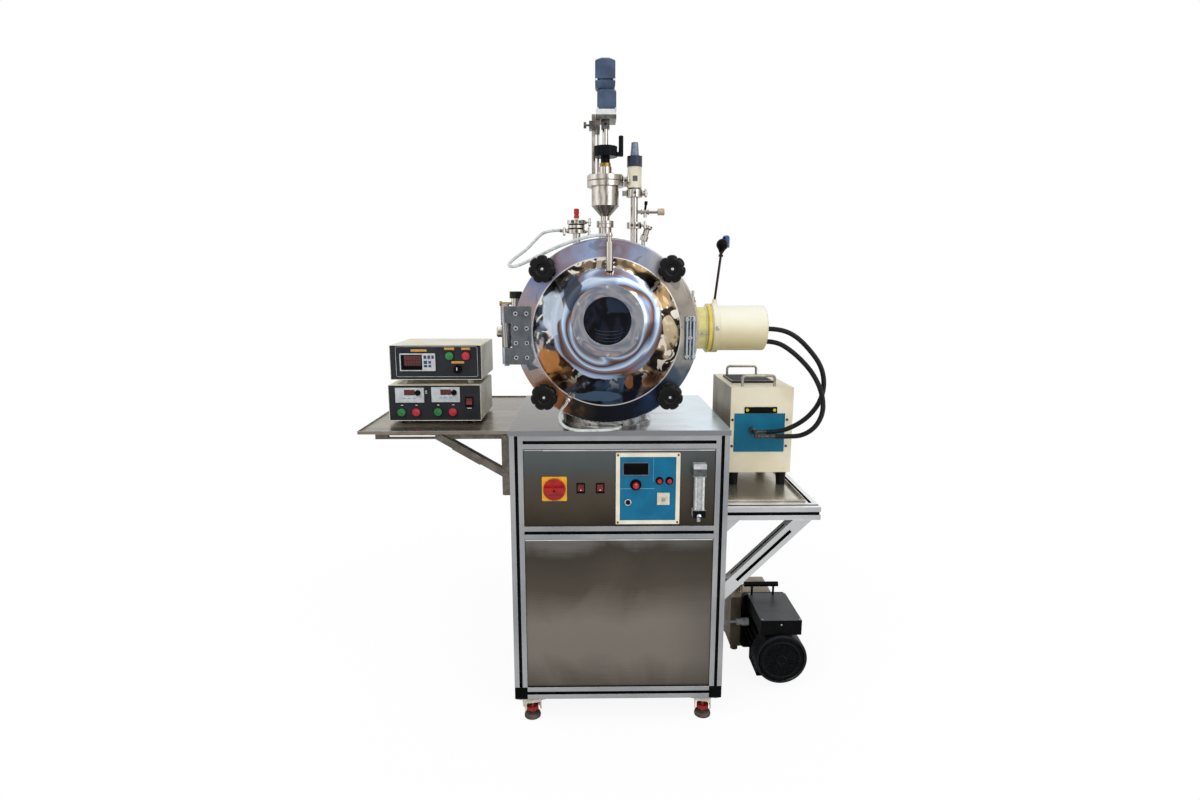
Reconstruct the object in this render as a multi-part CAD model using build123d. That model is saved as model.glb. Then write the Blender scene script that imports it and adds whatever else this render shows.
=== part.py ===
from build123d import *
from math import cos, radians, sin, sqrt, tan
import os

os.makedirs("parts", exist_ok=True)

# Bench-top vacuum melting furnace on a wheeled cabinet. Millimetres, +Z up.
# Sizes are given in the cabinet's own axes: X from its middle, Y back from its front face, Z from the floor.
# ORIGIN puts the row's origin under the middle of the whole machine.
ORIGIN = (56.0, -254.125, 0.0)

# ---- cabinet ----
CAB_W, CAB_D, CAB_TOP = 650.0, 610.0, 940.0
PROFILE = 40.0                      # square slotted aluminium profile
SLOT_MOUTH, SLOT_LIP, SLOT_DEPTH, SLOT_INNER = PROFILE / 4, PROFILE * 0.1125, PROFILE * 0.2875, PROFILE * 0.35
CASTER_H = 92.0
MID_RAIL_TOP = CAB_TOP - 279.0
TABLE_T, TABLE_OVERHANG, SHEET = 16.0, 3.0, 2.0
PANEL_RECESS, PANEL_GAP, PANEL_LIP = 5.0, 0.4, 14.0

# ---- casters ----
CASTER_INSET = 50.0                 # swivel axis from the cabinet's outer faces
CASTER_PLATE, CASTER_PLATE_T = 90.0, 5.0
RACE_R, RACE_H = 25.0, 8.0
WHEEL_R, WHEEL_W, WHEEL_TRAIL, AXLE_R = 25.0, 24.0, 48.0, 4.0
FORK_GAP, FORK_T = 44.0, 4.0
DIAL_R, DIAL_H, DIAL_Z = 19.0, 12.0, 27.0
PAD_R, PAD_H, PAD_Z = 16.0, 9.0, 4.0
CASTER_TURN = {"front_left": 12.0, "front_right": -9.0, "rear_left": 20.0, "rear_right": -16.0}

# ---- folding side tray ----
TRAY_W, TRAY_GAP, TRAY_RIM = 436.0, 1.0, 4.0
ARM_REACH, ARM_HALF, ARM_T = 381.0, 8.0, 3.0
HINGE_INSET, HINGE_DROP = 14.0, 21.0        # hinge pin from the post's face, and below the table's top
BRACE_DROP, BRACE_SEAT = 115.0, 194.0       # brace pivot below the hinge, and its pin along the arm
BRACE_HALF, BRACE_T = 10.0, 2.5
WALL_ARM_L, WALL_ARM_W = 180.0, 24.0
BRACKET_PLANE = 12.0                        # front of the brackets from the post's front face
PIN_R, HEAD_R, HEAD_T = 3.0, 5.5, 3.0
RUNNING = 0.06                              # radial clearance of a pin in its hole

# ---- right-hand shelf ----
SHELF_W, SHELF_TOP, SHELF_LIP = 281.0, CAB_TOP - 222.0, 12.0
GUSSET, BRACE_FOOT_Z = 46.0, CAB_TOP - 488.5

# ---- cord gland in the right-hand panel ----
CORD_GLAND_Y, CORD_GLAND_Z, CORD_GLAND_R = 300.0, 153.0, 9.0

# ---- control boxes on the tray ----
BOX_D, BOX_FRONT_Y = 235.0, 122.0
BOX_FOOT_R, BOX_WALL, BOX_PANEL_T = 10.0, 1.5, 3.0
BUTTON_R, BUTTON_L, BEZEL_R, BEZEL_T = 11.0, 6.0, 14.0, 3.0

# ---- chamber ----
CH_X, CH_Y = -40.0, 155.0                   # its axis, and how far back its side-port axis is
CH_R, CH_WALL, CH_SKIN = 215.0, 25.0, 4.0
FLANGE_LIP, FLANGE_T, FLANGE_Y = 44.0, 22.0, -12.0
FLANGE_OVER_TABLE = 29.0
CH_BACK, HEAD_DEPTH = 300.0, 70.0
SEAL_INSET, SEAL_W, SEAL_DEPTH, SEAL_PROUD = 8.0, 4.4, 3.0, 0.6
PEDESTAL_R, PEDESTAL_WALL, FOOT_RING_R, FOOT_RING_T = 132.0, 5.0, 144.0, 9.0

# ---- door ----
DOOR_GAP, DOOR_T, DOOR_SKIN = 1.0, 20.0, 6.0
DISH_INSET, DISH_DEPTH, KNUCKLE = 7.0, 62.0, 22.0
WINDOW_R, WINDOW_T, GLASS_R, GLASS_T, WINDOW_RISE = 97.0, 10.0, 66.0, 12.0, 38.0
WINDOW_Y = -130.0                           # the window flange's front face
WINDOW_BOLT_R, WINDOW_BOLTS = 90.0, 6
HINGE_GAP, HINGE_Y = 23.0, -24.0            # hinge axis outside the flange, and how far back
HINGE_SPAN, HINGE_DROPPED, HINGE_PIN_R = 162.0, 7.0, 7.0
STRAP_END = 33.0                            # where the hinge plate's strap ends, degrees below the axis
KNOB_INSET, KNOB_R, KNOB_L, KNOB_LOBES, KNOB_FRONT = 13.0, 38.0, 30.0, 7, -98.0


def save(name, *solids):
    """Write one sub-part, moved from the cabinet's axes to the row's frame."""
    moved = [Pos(*ORIGIN) * s for s in solids]
    shape = moved[0] if len(moved) == 1 else Compound(children=moved)
    export_step(shape, f"parts/{name}.step")


def block(x, y, z):
    """A box between two values on each axis."""
    low = Vector(x[0], y[0], z[0])
    high = Vector(x[1], y[1], z[1])
    size = high - low
    return Pos(*((low + high) / 2)) * Box(size.X, size.Y, size.Z)


TURN = {"x": Rot(0, 90, 0), "y": Rot(-90, 0, 0), "z": Rot(0, 0, 0), "-y": Rot(90, 0, 0), "-x": Rot(0, -90, 0)}
UP = (Align.CENTER, Align.CENTER, Align.MIN)


def rod(start, axis, radius, length):
    """A cylinder that starts at a point and runs along an axis."""
    return Pos(*start) * TURN[axis] * Cylinder(radius, length, align=UP)


def stub(start, end, radius):
    """A cylinder between two points."""
    run = Vector(*end) - Vector(*start)
    return Plane(start, z_dir=run) * Cylinder(radius, run.length, align=UP)


def pipe(start, axis, outer, inner, length):
    return rod(start, axis, outer, length) - rod(start, axis, inner, length)


def turned(points, start=(0, 0, 0), axis="z"):
    """A solid of revolution from (radius, height) points about an axis through a point."""
    outline = make_face(Plane.XZ * Polyline(*points, close=True))
    return Pos(*start) * TURN[axis] * revolve(outline, Axis.Z)


def ring_of(item, count, first=0.0):
    """Copies of an item spread round the Z axis."""
    return [Rot(0, 0, first + 360.0 * i / count) * item for i in range(count)]


def profile_section():
    """The square section with a T-slot in each side."""
    section = Rectangle(PROFILE, PROFILE)
    mouth = Pos(0, PROFILE / 2 - SLOT_DEPTH / 2) * Rectangle(SLOT_MOUTH, SLOT_DEPTH)
    inner_h = SLOT_DEPTH - SLOT_LIP
    inner = Pos(0, PROFILE / 2 - SLOT_LIP - inner_h / 2) * Rectangle(SLOT_INNER, inner_h)
    for quarter in range(4):
        section -= Rot(0, 0, 90 * quarter) * (mouth + inner)
    return section


SECTION = profile_section()


def profile(start, axis, length):
    """A length of the slotted profile whose centre line starts at a point."""
    return Pos(*start) * TURN[axis] * extrude(SECTION, length)


def folded_panel(x, z, y, depth=PANEL_LIP):
    """A sheet-metal panel with its four edges folded back; its face is at y."""
    shell = block(x, (y, y + depth), z)
    inside = block((x[0] + SHEET, x[1] - SHEET), (y + SHEET, y + depth + 1), (z[0] + SHEET, z[1] - SHEET))
    return shell - inside


# ---- derived places ----
HALF_W = CAB_W / 2
P2 = PROFILE / 2
TABLE_TOP = CAB_TOP + TABLE_T
BASE = CASTER_H
POST_X = HALF_W - P2
POST_Y = (P2, CAB_D - P2)
INNER_X = HALF_W - PROFILE
FLANGE_R = CH_R + FLANGE_LIP
SEAL_R, DISH_R, KNOB_PCD_R = CH_R - SEAL_INSET, CH_R - DISH_INSET, FLANGE_R - KNOB_INSET
CH_Z = TABLE_TOP + FLANGE_OVER_TABLE + FLANGE_R
HINGE_X = CH_X - FLANGE_R - HINGE_GAP
HINGE_LOW = CH_Z - HINGE_DROPPED - HINGE_SPAN / 2
HINGE_HIGH = HINGE_LOW + HINGE_SPAN


# ================= cabinet =================
def make_frame():
    members = []
    for x in (-POST_X, POST_X):
        for y in POST_Y:
            members.append(profile((x, y, BASE + PROFILE), "z", CAB_TOP - BASE - PROFILE))
    for z in (BASE + P2, CAB_TOP - P2):
        for y in POST_Y:
            members.append(profile((-INNER_X, y, z), "x", 2 * INNER_X))
        for x in (-POST_X, POST_X):
            members.append(profile((x, PROFILE, z), "y", CAB_D - 2 * PROFILE))
    for y in POST_Y:
        members.append(profile((-INNER_X, y, MID_RAIL_TOP - P2), "x", 2 * INNER_X))
    for x in (-POST_X, POST_X):
        for y in POST_Y:
            cube = Pos(x, y, BASE + P2) * Box(PROFILE, PROFILE, PROFILE)
            members.append(fillet(cube.edges().filter_by(Axis.Z), 2.0))
    save("cabinet_frame", *members)


def make_table():
    x = (-HALF_W - TABLE_OVERHANG, HALF_W + TABLE_OVERHANG)
    y = (-TABLE_OVERHANG, CAB_D + TABLE_OVERHANG)
    top = block(x, y, (CAB_TOP, TABLE_TOP))
    hollow = block((x[0] + SHEET, x[1] - SHEET), (y[0] + SHEET, y[1] - SHEET), (CAB_TOP - 1, TABLE_TOP - SHEET))
    top -= hollow
    for rib_y in (CH_Y - 90, CH_Y, CH_Y + 90, CAB_D - 120):
        top += block((x[0] + 1, x[1] - 1), (rib_y - 12, rib_y + 12), (CAB_TOP, TABLE_TOP - 1))
    save("table_top", top)


PANEL_X = (-INNER_X + PANEL_GAP, INNER_X - PANEL_GAP)
UPPER_Z = (MID_RAIL_TOP + PANEL_GAP, CAB_TOP - PROFILE - PANEL_GAP)
LOWER_Z = (BASE + PROFILE + PANEL_GAP, MID_RAIL_TOP - PROFILE - PANEL_GAP)


def make_panels():
    upper = folded_panel(PANEL_X, UPPER_Z, PANEL_RECESS)
    for hole in PANEL_HOLES:
        upper -= hole
    save("control_panel", upper, *panel_fixtures())
    front = folded_panel(PANEL_X, LOWER_Z, PANEL_RECESS)
    back = [
        Pos(0, CAB_D, 0) * Rot(0, 0, 180) * folded_panel(PANEL_X, z, PANEL_RECESS)
        for z in (UPPER_Z, LOWER_Z)
    ]
    half_d = CAB_D / 2 - PROFILE - PANEL_GAP
    side_z = (LOWER_Z[0], UPPER_Z[1])
    left = Pos(-HALF_W, CAB_D / 2, 0) * Rot(0, 0, -90) * folded_panel((-half_d, half_d), side_z, PANEL_RECESS)
    right = Pos(HALF_W, CAB_D / 2, 0) * Rot(0, 0, 90) * folded_panel((-half_d, half_d), side_z, PANEL_RECESS)
    right -= rod((HALF_W - PROFILE, CORD_GLAND_Y, CORD_GLAND_Z), "x", CORD_GLAND_R, PROFILE)
    inset = P2 + 1.0
    floor = block((-INNER_X, INNER_X), (inset, CAB_D - inset), (BASE + PROFILE - SHEET, BASE + PROFILE))
    for y in POST_Y:
        floor -= block((-INNER_X - 1, INNER_X + 1), (y - P2, y + P2), (BASE, BASE + PROFILE + 1))
    gland = pipe((HALF_W - PANEL_RECESS - 6, CORD_GLAND_Y, CORD_GLAND_Z), "x", CORD_GLAND_R, 4.2, 16)
    gland += pipe((HALF_W - PANEL_RECESS, CORD_GLAND_Y, CORD_GLAND_Z), "x", CORD_GLAND_R + 4, 4.2, 6)
    save("outer_panels", front, *back, left, right, floor, gland)


# ================= casters =================
CASTERS = {
    "front_left": (-HALF_W + CASTER_INSET, CASTER_INSET),
    "front_right": (HALF_W - CASTER_INSET, CASTER_INSET),
    "rear_left": (-HALF_W + CASTER_INSET, CAB_D - CASTER_INSET),
    "rear_right": (HALF_W - CASTER_INSET, CAB_D - CASTER_INSET),
}


def make_casters():
    plates = []
    top = CASTER_H
    for name, (x, y) in CASTERS.items():
        half = CASTER_PLATE / 2
        plate = block((x - half, x + half), (y - half, y + half), (top - CASTER_PLATE_T, top))
        plate += rod((x, y, top - CASTER_PLATE_T - RACE_H), "z", RACE_R, RACE_H)
        for sx in (-1, 1):
            for sy in (-1, 1):
                bolt = (x + sx * (half - 11), y + sy * (half - 11), top - CASTER_PLATE_T - 5)
                plate += rod(bolt, "z", 5.5, 5)
        plates.append(plate)
        place = Pos(x, y, 0) * Rot(0, 0, CASTER_TURN[name])
        save(f"caster_housing_{name}", *[place * s for s in caster_housing(top - CASTER_PLATE_T - RACE_H)])
        save(f"caster_wheel_{name}", place * caster_wheel())
    save("caster_plates", *plates)


def caster_housing(top):
    """The housing that swivels, its axle, and the levelling foot with its dial."""
    side = [
        (-27, top - 14), (-27, 40), (-20, 34), (20, 34), (34, 12), (WHEEL_TRAIL, 8), (WHEEL_TRAIL + 22, 14),
        (WHEEL_TRAIL + 29, 34), (WHEEL_TRAIL + 18, 56), (44, top - 2), (24, top), (-20, top),
    ]
    outline = make_face(Plane.XZ * Polyline(*side, close=True))
    width = FORK_GAP + 2 * FORK_T
    body = extrude(outline, width / 2, both=True)
    side_in = [
        (-40, -1), (-40, top - 22), (-12, top - 9), (40, top - 9), (WHEEL_TRAIL + 14, 52), (WHEEL_TRAIL + 25, 36),
        (WHEEL_TRAIL + 25, -1),
    ]
    hollow = extrude(make_face(Plane.XZ * Polyline(*side_in, close=True)), FORK_GAP / 2, both=True)
    body -= hollow
    turned_to_y = Rot(0, 0, 90)
    body = turned_to_y * body
    axle = rod((-width / 2 - 1, WHEEL_TRAIL, WHEEL_R), "x", AXLE_R, width + 2)
    body -= axle
    stem = rod((0, 0, PAD_Z + PAD_H), "z", 5.0, top - 9 - PAD_Z - PAD_H)
    dial = rod((0, 0, DIAL_Z), "z", DIAL_R, DIAL_H)
    notch = Pos(DIAL_R, 0, DIAL_Z) * Cylinder(2.2, DIAL_H, align=UP)
    for cut in ring_of(notch, 12):
        dial -= cut
    dial -= stem
    pad = turned([(0, PAD_Z), (PAD_R, PAD_Z), (PAD_R - 2, PAD_Z + PAD_H), (0, PAD_Z + PAD_H)])
    return body, axle, stem, dial, pad


def caster_wheel():
    half = WHEEL_W / 2
    bore = AXLE_R + RUNNING
    outline = [
        (bore, -half), (9, -half), (9, -half + 3), (WHEEL_R - 6, -half + 3), (WHEEL_R - 5, -half),
        (WHEEL_R - 1.5, -half), (WHEEL_R, -half + 2), (WHEEL_R, half - 2), (WHEEL_R - 1.5, half),
        (WHEEL_R - 5, half), (WHEEL_R - 6, half - 3), (9, half - 3), (9, half), (bore, half),
    ]
    return turned(outline, (0, WHEEL_TRAIL, WHEEL_R), "x")


# ================= folding tray =================
TRAY_RIGHT = -HALF_W - TABLE_OVERHANG - TRAY_GAP
TRAY_LEFT = TRAY_RIGHT - TRAY_W
TRAY_SURFACE = TABLE_TOP - TRAY_RIM
HINGE = (-HALF_W - HINGE_INSET, TABLE_TOP - HINGE_DROP)
BRACE_PIVOT = (HINGE[0], HINGE[1] - BRACE_DROP)
BRACE_PIN = (HINGE[0] - BRACE_SEAT, HINGE[1])
BRACE_L = sqrt(BRACE_SEAT**2 + BRACE_DROP**2)
SLOT_END = BRACE_L + BRACE_DROP             # along the arm when the tray hangs down
PLAY = 0.5
BRACKET_D = PROFILE - 15.0                  # width of the wall arm, a channel between the brace's legs
# planes of one bracket, from its front: brace leg, wall arm, tray arm, tray arm, wall arm, brace leg
LEG_1 = (BRACKET_PLANE, BRACKET_PLANE + BRACE_T)
WALL_1 = (LEG_1[1] + PLAY, LEG_1[1] + PLAY + ARM_T)
WALL_2 = (WALL_1[0] + BRACKET_D - ARM_T, WALL_1[0] + BRACKET_D)
LEG_2 = (WALL_2[1] + PLAY, WALL_2[1] + PLAY + BRACE_T)
TRAY_1 = (WALL_1[1] + 2.0, WALL_1[1] + 2.0 + ARM_T)
TRAY_2 = (WALL_2[0] - 2.0 - ARM_T, WALL_2[0] - 2.0)


def both_ends(item):
    """An item of the front bracket and its mirror image at the back of the cabinet."""
    return [item, mirror(item, Plane.XZ.offset(-CAB_D / 2))]


def bar_outline(length, half):
    """A flat bar with round ends, from the origin along +X."""
    return Pos(length / 2, 0) * SlotCenterToCenter(length, 2 * half)


def tray_arm():
    """A channel under the tray, with a slot in each side for the brace's pin."""
    web_top = TRAY_SURFACE - SHEET
    x = (HINGE[0] - ARM_REACH, HINGE[0])
    depth = TRAY_2[1] - TRAY_1[0]
    arm = block((x[0], x[1] - ARM_HALF), (TRAY_1[0], TRAY_2[1]), (web_top - ARM_T, web_top))
    for web in (TRAY_1, TRAY_2):
        arm += block(x, web, (HINGE[1] - ARM_HALF, web_top))
        arm += rod((HINGE[0], web[0], HINGE[1]), "y", ARM_HALF, ARM_T)
    slot = extrude(bar_outline(SLOT_END - BRACE_SEAT, PIN_R + 0.5), depth + 2)
    arm -= Pos(HINGE[0] - SLOT_END, TRAY_2[1] + 1, HINGE[1]) * Rot(90, 0, 0) * slot
    return arm - rod((HINGE[0], TRAY_1[0] - 1, HINGE[1]), "y", PIN_R + RUNNING, depth + 2)


def wall_arm():
    """A channel against the post, open away from it."""
    low = HINGE[1] - WALL_ARM_L
    arm = block((-HALF_W - ARM_T, -HALF_W), (WALL_1[0], WALL_2[1]), (low, CAB_TOP - TABLE_T / 2))
    for web in (WALL_1, WALL_2):
        side = block((-HALF_W - WALL_ARM_W, -HALF_W), web, (low, HINGE[1] + ARM_HALF - 3))
        arm += fillet(side.edges().filter_by(Axis.Y).group_by(Axis.X)[0], 5.0)
    return arm


def brace():
    """Two legs outside the arms, joined along their lower edge clear of the wall arm and the pin."""
    dx = BRACE_PIN[0] - BRACE_PIVOT[0]
    dz = BRACE_PIN[1] - BRACE_PIVOT[1]
    angle = 180 - degrees_of(dz, -dx)
    start, stop = WALL_ARM_L - BRACE_DROP + 14, BRACE_L - 52
    body = block((start, stop), (BRACE_HALF, BRACE_HALF + BRACE_T), (-LEG_2[1], -LEG_1[0]))
    for leg in (LEG_1, LEG_2):
        bar = extrude(bar_outline(BRACE_L, BRACE_HALF), BRACE_T) - Cylinder(PIN_R + RUNNING, 3 * BRACE_T)
        body += Pos(0, 0, -leg[1]) * bar
        body += block((start, stop), (0, BRACE_HALF + BRACE_T), (-leg[1], -leg[0]))
    body += Pos(BRACE_L, 0, -LEG_1[0]) * Cylinder(HEAD_R, HEAD_T, align=UP)
    body += Pos(BRACE_L, 0, -LEG_2[1] - HEAD_T) * Cylinder(HEAD_R, HEAD_T, align=UP)
    return Pos(BRACE_PIVOT[0], 0, BRACE_PIVOT[1]) * Rot(90, 0, 0) * Rot(0, 0, angle) * body


def degrees_of(rise, run):
    return Vector(run, rise, 0).get_angle(Vector(1, 0, 0))


def rivet(x, z, low, high, head_low=True, head_high=True):
    """A pin along Y between two planes, with a head outside either."""
    pin = rod((x, low, z), "y", PIN_R, high - low)
    if head_low:
        pin += rod((x, low - HEAD_T, z), "y", HEAD_R, HEAD_T)
    if head_high:
        pin += rod((x, high, z), "y", HEAD_R, HEAD_T)
    return pin


def make_tray():
    x = (TRAY_LEFT, TRAY_RIGHT)
    y = (0.0, CAB_D)
    tray = block(x, y, (TRAY_SURFACE - 6, TABLE_TOP))
    tray -= block((x[0] + SHEET, x[1] + 1), (y[0] + SHEET, y[1] - SHEET), (TRAY_SURFACE, TABLE_TOP + 1))
    tray -= block((x[0] + SHEET, x[1] + 1), (y[0] + SHEET, y[1] - SHEET), (0, TRAY_SURFACE - SHEET))
    save("side_tray", tray, *both_ends(tray_arm()))
    bolts = both_ends(rivet(*HINGE, WALL_1[0], WALL_2[1]))
    bolts += both_ends(rivet(*BRACE_PIVOT, LEG_1[0], WALL_1[1], head_high=False))
    bolts += both_ends(rivet(*BRACE_PIVOT, WALL_2[0], LEG_2[1], head_low=False))
    holes = rod((HINGE[0], 0, HINGE[1]), "y", PIN_R, CAB_D)
    holes += rod((BRACE_PIVOT[0], 0, BRACE_PIVOT[1]), "y", PIN_R, CAB_D)
    save("tray_wall_arms", *[arm - holes for arm in both_ends(wall_arm())], *bolts)
    save("tray_braces", *both_ends(brace()))


# ================= front control panel =================
PANEL_Y = PANEL_RECESS
MAIN_SWITCH = (-INNER_X + 91.5, CAB_TOP - 162.0)
SWITCH_PLATE, SWITCH_PLATE_T, SWITCH_SHAFT_R = 74.0, 4.0, 8.0
SWITCH_DISC_R, SWITCH_DISC_T, GRIP_W, GRIP_T = 33.0, 8.0, 18.0, 14.0
ROCKERS = {"rocker_left": (-INNER_X + 170.0, CAB_TOP - 160.5), "rocker_right": (-INNER_X + 227.5, CAB_TOP - 160.5)}
ROCKER_W, ROCKER_H, BEZEL_LIP, ROCKER_TILT = 18.0, 24.0, 4.0, 10.0
PANEL_BOX = (INNER_X - 296.0, INNER_X - 105.5, CAB_TOP - 271.3, CAB_TOP - 51.8)     # furnace controller: x, x, z, z
CONTROLLER_T, CONTROLLER_MARGIN = 8.0, 13.0
BOX_LEFT, BOX_LOW = PANEL_BOX[0], PANEL_BOX[2]
POWER_KNOB, TRIM_KNOB = (BOX_LEFT + 58.8, BOX_LOW + 122.7), (BOX_LEFT + 36.2, BOX_LOW + 68.7)
SMALL_BUTTONS = ((BOX_LEFT + 129.3, BOX_LOW + 134.7), (BOX_LEFT + 158.8, BOX_LOW + 134.7))
START_BUTTON, START_SIZE = (BOX_LEFT + 141.7, BOX_LOW + 78.8), 31.0
FLOW_X, FLOW_W, FLOW_T = INNER_X - 49.0, 38.0, 26.0
FLOW_Z = (CAB_TOP - 246.0, CAB_TOP - 224.0, CAB_TOP - 120.0, CAB_TOP - 82.0)   # bottom block, tube, top block
PLUG_GAP = 0.3


def span(centre, half):
    return (centre - half, centre + half)


def panel_hole(x, z, half_x, half_z):
    return block(span(x, half_x), (PANEL_Y - 1, PANEL_Y + SHEET + 1), span(z, half_z))


CONTROLLER_X = (PANEL_BOX[0] + PANEL_BOX[1]) / 2
CONTROLLER_Z = (PANEL_BOX[2] + PANEL_BOX[3]) / 2
CONTROLLER_HX = (PANEL_BOX[1] - PANEL_BOX[0]) / 2
CONTROLLER_HZ = (PANEL_BOX[3] - PANEL_BOX[2]) / 2
PANEL_HOLES = [
    panel_hole(*MAIN_SWITCH, SWITCH_PLATE / 2 - 10, SWITCH_PLATE / 2 - 10),
    panel_hole(CONTROLLER_X, CONTROLLER_Z, CONTROLLER_HX - CONTROLLER_MARGIN, CONTROLLER_HZ - CONTROLLER_MARGIN),
]
PANEL_HOLES += [panel_hole(x, z, ROCKER_W / 2 + 2, ROCKER_H / 2 + 2) for x, z in ROCKERS.values()]
PANEL_HOLES += [
    rod((FLOW_X, PANEL_Y - 1, (FLOW_Z[a] + FLOW_Z[b]) / 2), "y", 6.0, SHEET + 2) for a, b in ((0, 1), (2, 3))
]


def rocker_bezel(x, z, face, depth=14.0):
    """The rocker switch's frame: a lip on the face and a sleeve through the panel."""
    lip = block(span(x, ROCKER_W / 2 + BEZEL_LIP), (face - 2.5, face), span(z, ROCKER_H / 2 + BEZEL_LIP))
    sleeve = block(span(x, ROCKER_W / 2 + 1.8), (face, face + depth), span(z, ROCKER_H / 2 + 1.8))
    hollow_x, hollow_z = span(x, ROCKER_W / 2 + PLUG_GAP), span(z, ROCKER_H / 2 + 0.6)
    return lip + sleeve - block(hollow_x, (face - 3, face + depth - 1.5), hollow_z)


def rocker_key(x, z, face):
    """The rocking key: round ends about its pivot and a face with a shallow V."""
    key = rod((x - ROCKER_W / 2, face + 4, z), "x", ROCKER_H / 2, ROCKER_W)
    key -= block(span(x, ROCKER_W), (face + 8, face + 30), span(z, ROCKER_H))
    for side in (-1, 1):
        wedge = Pos(x, face - 1.2, z) * Rot(side * ROCKER_TILT, 0, 0) * Pos(0, -15, side * 15) * Box(40, 30, 30)
        key -= wedge
    return Pos(x, face + 4, z) * Rot(-ROCKER_TILT, 0, 0) * Pos(-x, -face - 4, -z) * key


def panel_fixtures():
    """The rotary switch's square plate and the two rocker frames."""
    x, z = MAIN_SWITCH
    half = SWITCH_PLATE / 2
    plate = block(span(x, half), (PANEL_Y - SWITCH_PLATE_T, PANEL_Y), span(z, half))
    plate = fillet(plate.edges().filter_by(Axis.Y), 4.0)
    plate += block(span(x, half - 12), (PANEL_Y, PANEL_Y + 30), span(z, half - 12))
    plate -= rod((x, PANEL_Y - SWITCH_PLATE_T - 1, z), "y", SWITCH_SHAFT_R + RUNNING, 20)
    return [plate] + [rocker_bezel(*place, PANEL_Y) for place in ROCKERS.values()]


def make_controls():
    x, z = MAIN_SWITCH
    front = PANEL_Y - SWITCH_PLATE_T - PLUG_GAP
    handle = rod((x, front - SWITCH_DISC_T, z), "y", SWITCH_DISC_R, SWITCH_DISC_T)
    grip = block(span(x, SWITCH_DISC_R - 2), (front - SWITCH_DISC_T - GRIP_T, front), span(z, GRIP_W / 2))
    handle += fillet(grip.edges().filter_by(Axis.Y), 3.0)
    handle += rod((x, front, z), "y", SWITCH_SHAFT_R, 15)
    save("main_switch", handle)
    for name, place in ROCKERS.items():
        save(name, rocker_key(*place, PANEL_Y))
    make_furnace_controller()
    make_flowmeter()


def make_furnace_controller():
    face = PANEL_Y - CONTROLLER_T
    hx, hz = CONTROLLER_HX, CONTROLLER_HZ
    body = block(span(CONTROLLER_X, hx), (face, PANEL_Y), span(CONTROLLER_Z, hz))
    body = fillet(body.edges().filter_by(Axis.Y), 3.0)
    inset = CONTROLLER_MARGIN - 1
    recess = block(span(CONTROLLER_X, hx - inset), (face - 1, face + 1), span(CONTROLLER_Z, hz - inset))
    body -= recess
    rear = CONTROLLER_MARGIN + 1
    body += block(span(CONTROLLER_X, hx - rear), (PANEL_Y, PANEL_Y + 60), span(CONTROLLER_Z, hz - rear))
    face += 1
    body += rod((POWER_KNOB[0], face - 2, POWER_KNOB[1]), "y", 17, 2)
    body -= rod((POWER_KNOB[0], face - 3, POWER_KNOB[1]), "y", 4 + RUNNING, 15)
    body += rod((TRIM_KNOB[0], face - 3, TRIM_KNOB[1]), "y", 10, 3)
    for button in SMALL_BUTTONS:
        body += rod((button[0], face - 4, button[1]), "y", 8.5, 4)
    bx, bz = START_BUTTON
    frame = block(span(bx, START_SIZE / 2 + 3), (face - 2, face), span(bz, START_SIZE / 2 + 3))
    body += frame
    body -= block(span(bx, START_SIZE / 2 + PLUG_GAP), (face - 5, face + 8), span(bz, START_SIZE / 2 + PLUG_GAP))
    screws = []
    for sx in (-1, 1):
        for sz in (-1, 1):
            at = (CONTROLLER_X + sx * (hx - 6), face - 2.5, CONTROLLER_Z + sz * (hz - 6))
            screws.append(rod(at, "y", 3.0, 1.5))
    save("furnace_controller", body, *screws)
    knob = turned(
        [(0, -10), (4, -10), (4, PLUG_GAP), (12, PLUG_GAP), (12, 9), (10, 13), (0, 13)],
        (POWER_KNOB[0], face - 2, POWER_KNOB[1]), "-y")
    save("power_knob", knob)
    cap = block(span(bx, START_SIZE / 2), (face - 6, face + 4), span(bz, START_SIZE / 2))
    save("start_button", fillet(cap.edges().filter_by(Axis.Y), 2.0))


def make_flowmeter():
    """A clear-tube flowmeter between two blocks, with a needle valve under it."""
    back, front = PANEL_Y, PANEL_Y - FLOW_T
    z0, z1, z2, z3 = FLOW_Z
    half = FLOW_W / 2
    top = block(span(FLOW_X, half), (front, back), (z2, z3))
    low = block(span(FLOW_X, half), (front, back), (z0, z1))
    body = block(span(FLOW_X, half - 4), (front + 2, back - 4), (z1, z2))
    body -= rod((FLOW_X, (front + back) / 2 - 1, z1 - 1), "z", 5, z2 - z1 + 2)
    float_ball = Pos(FLOW_X, (front + back) / 2 - 1, z1 + 46) * Sphere(4.6)
    for z in ((z2 + z3) / 2, (z0 + z1) / 2):
        top, low = [b + rod((FLOW_X, back, z), "y", 5.5, 22) if b.bounding_box().min.Z < z < b.bounding_box().max.Z
                    else b for b in (top, low)]
    centre_y = (front + back) / 2
    low -= rod((FLOW_X, centre_y, z0 - 1), "z", 3 + RUNNING, 14)
    save("flowmeter", top, body, low, float_ball)
    valve = turned([(0, 12), (3, 12), (3, -PLUG_GAP), (7, -PLUG_GAP), (7, -14), (5, -16), (0, -16)],
                   (FLOW_X, centre_y, z0))
    save("flow_valve", valve)


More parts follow.
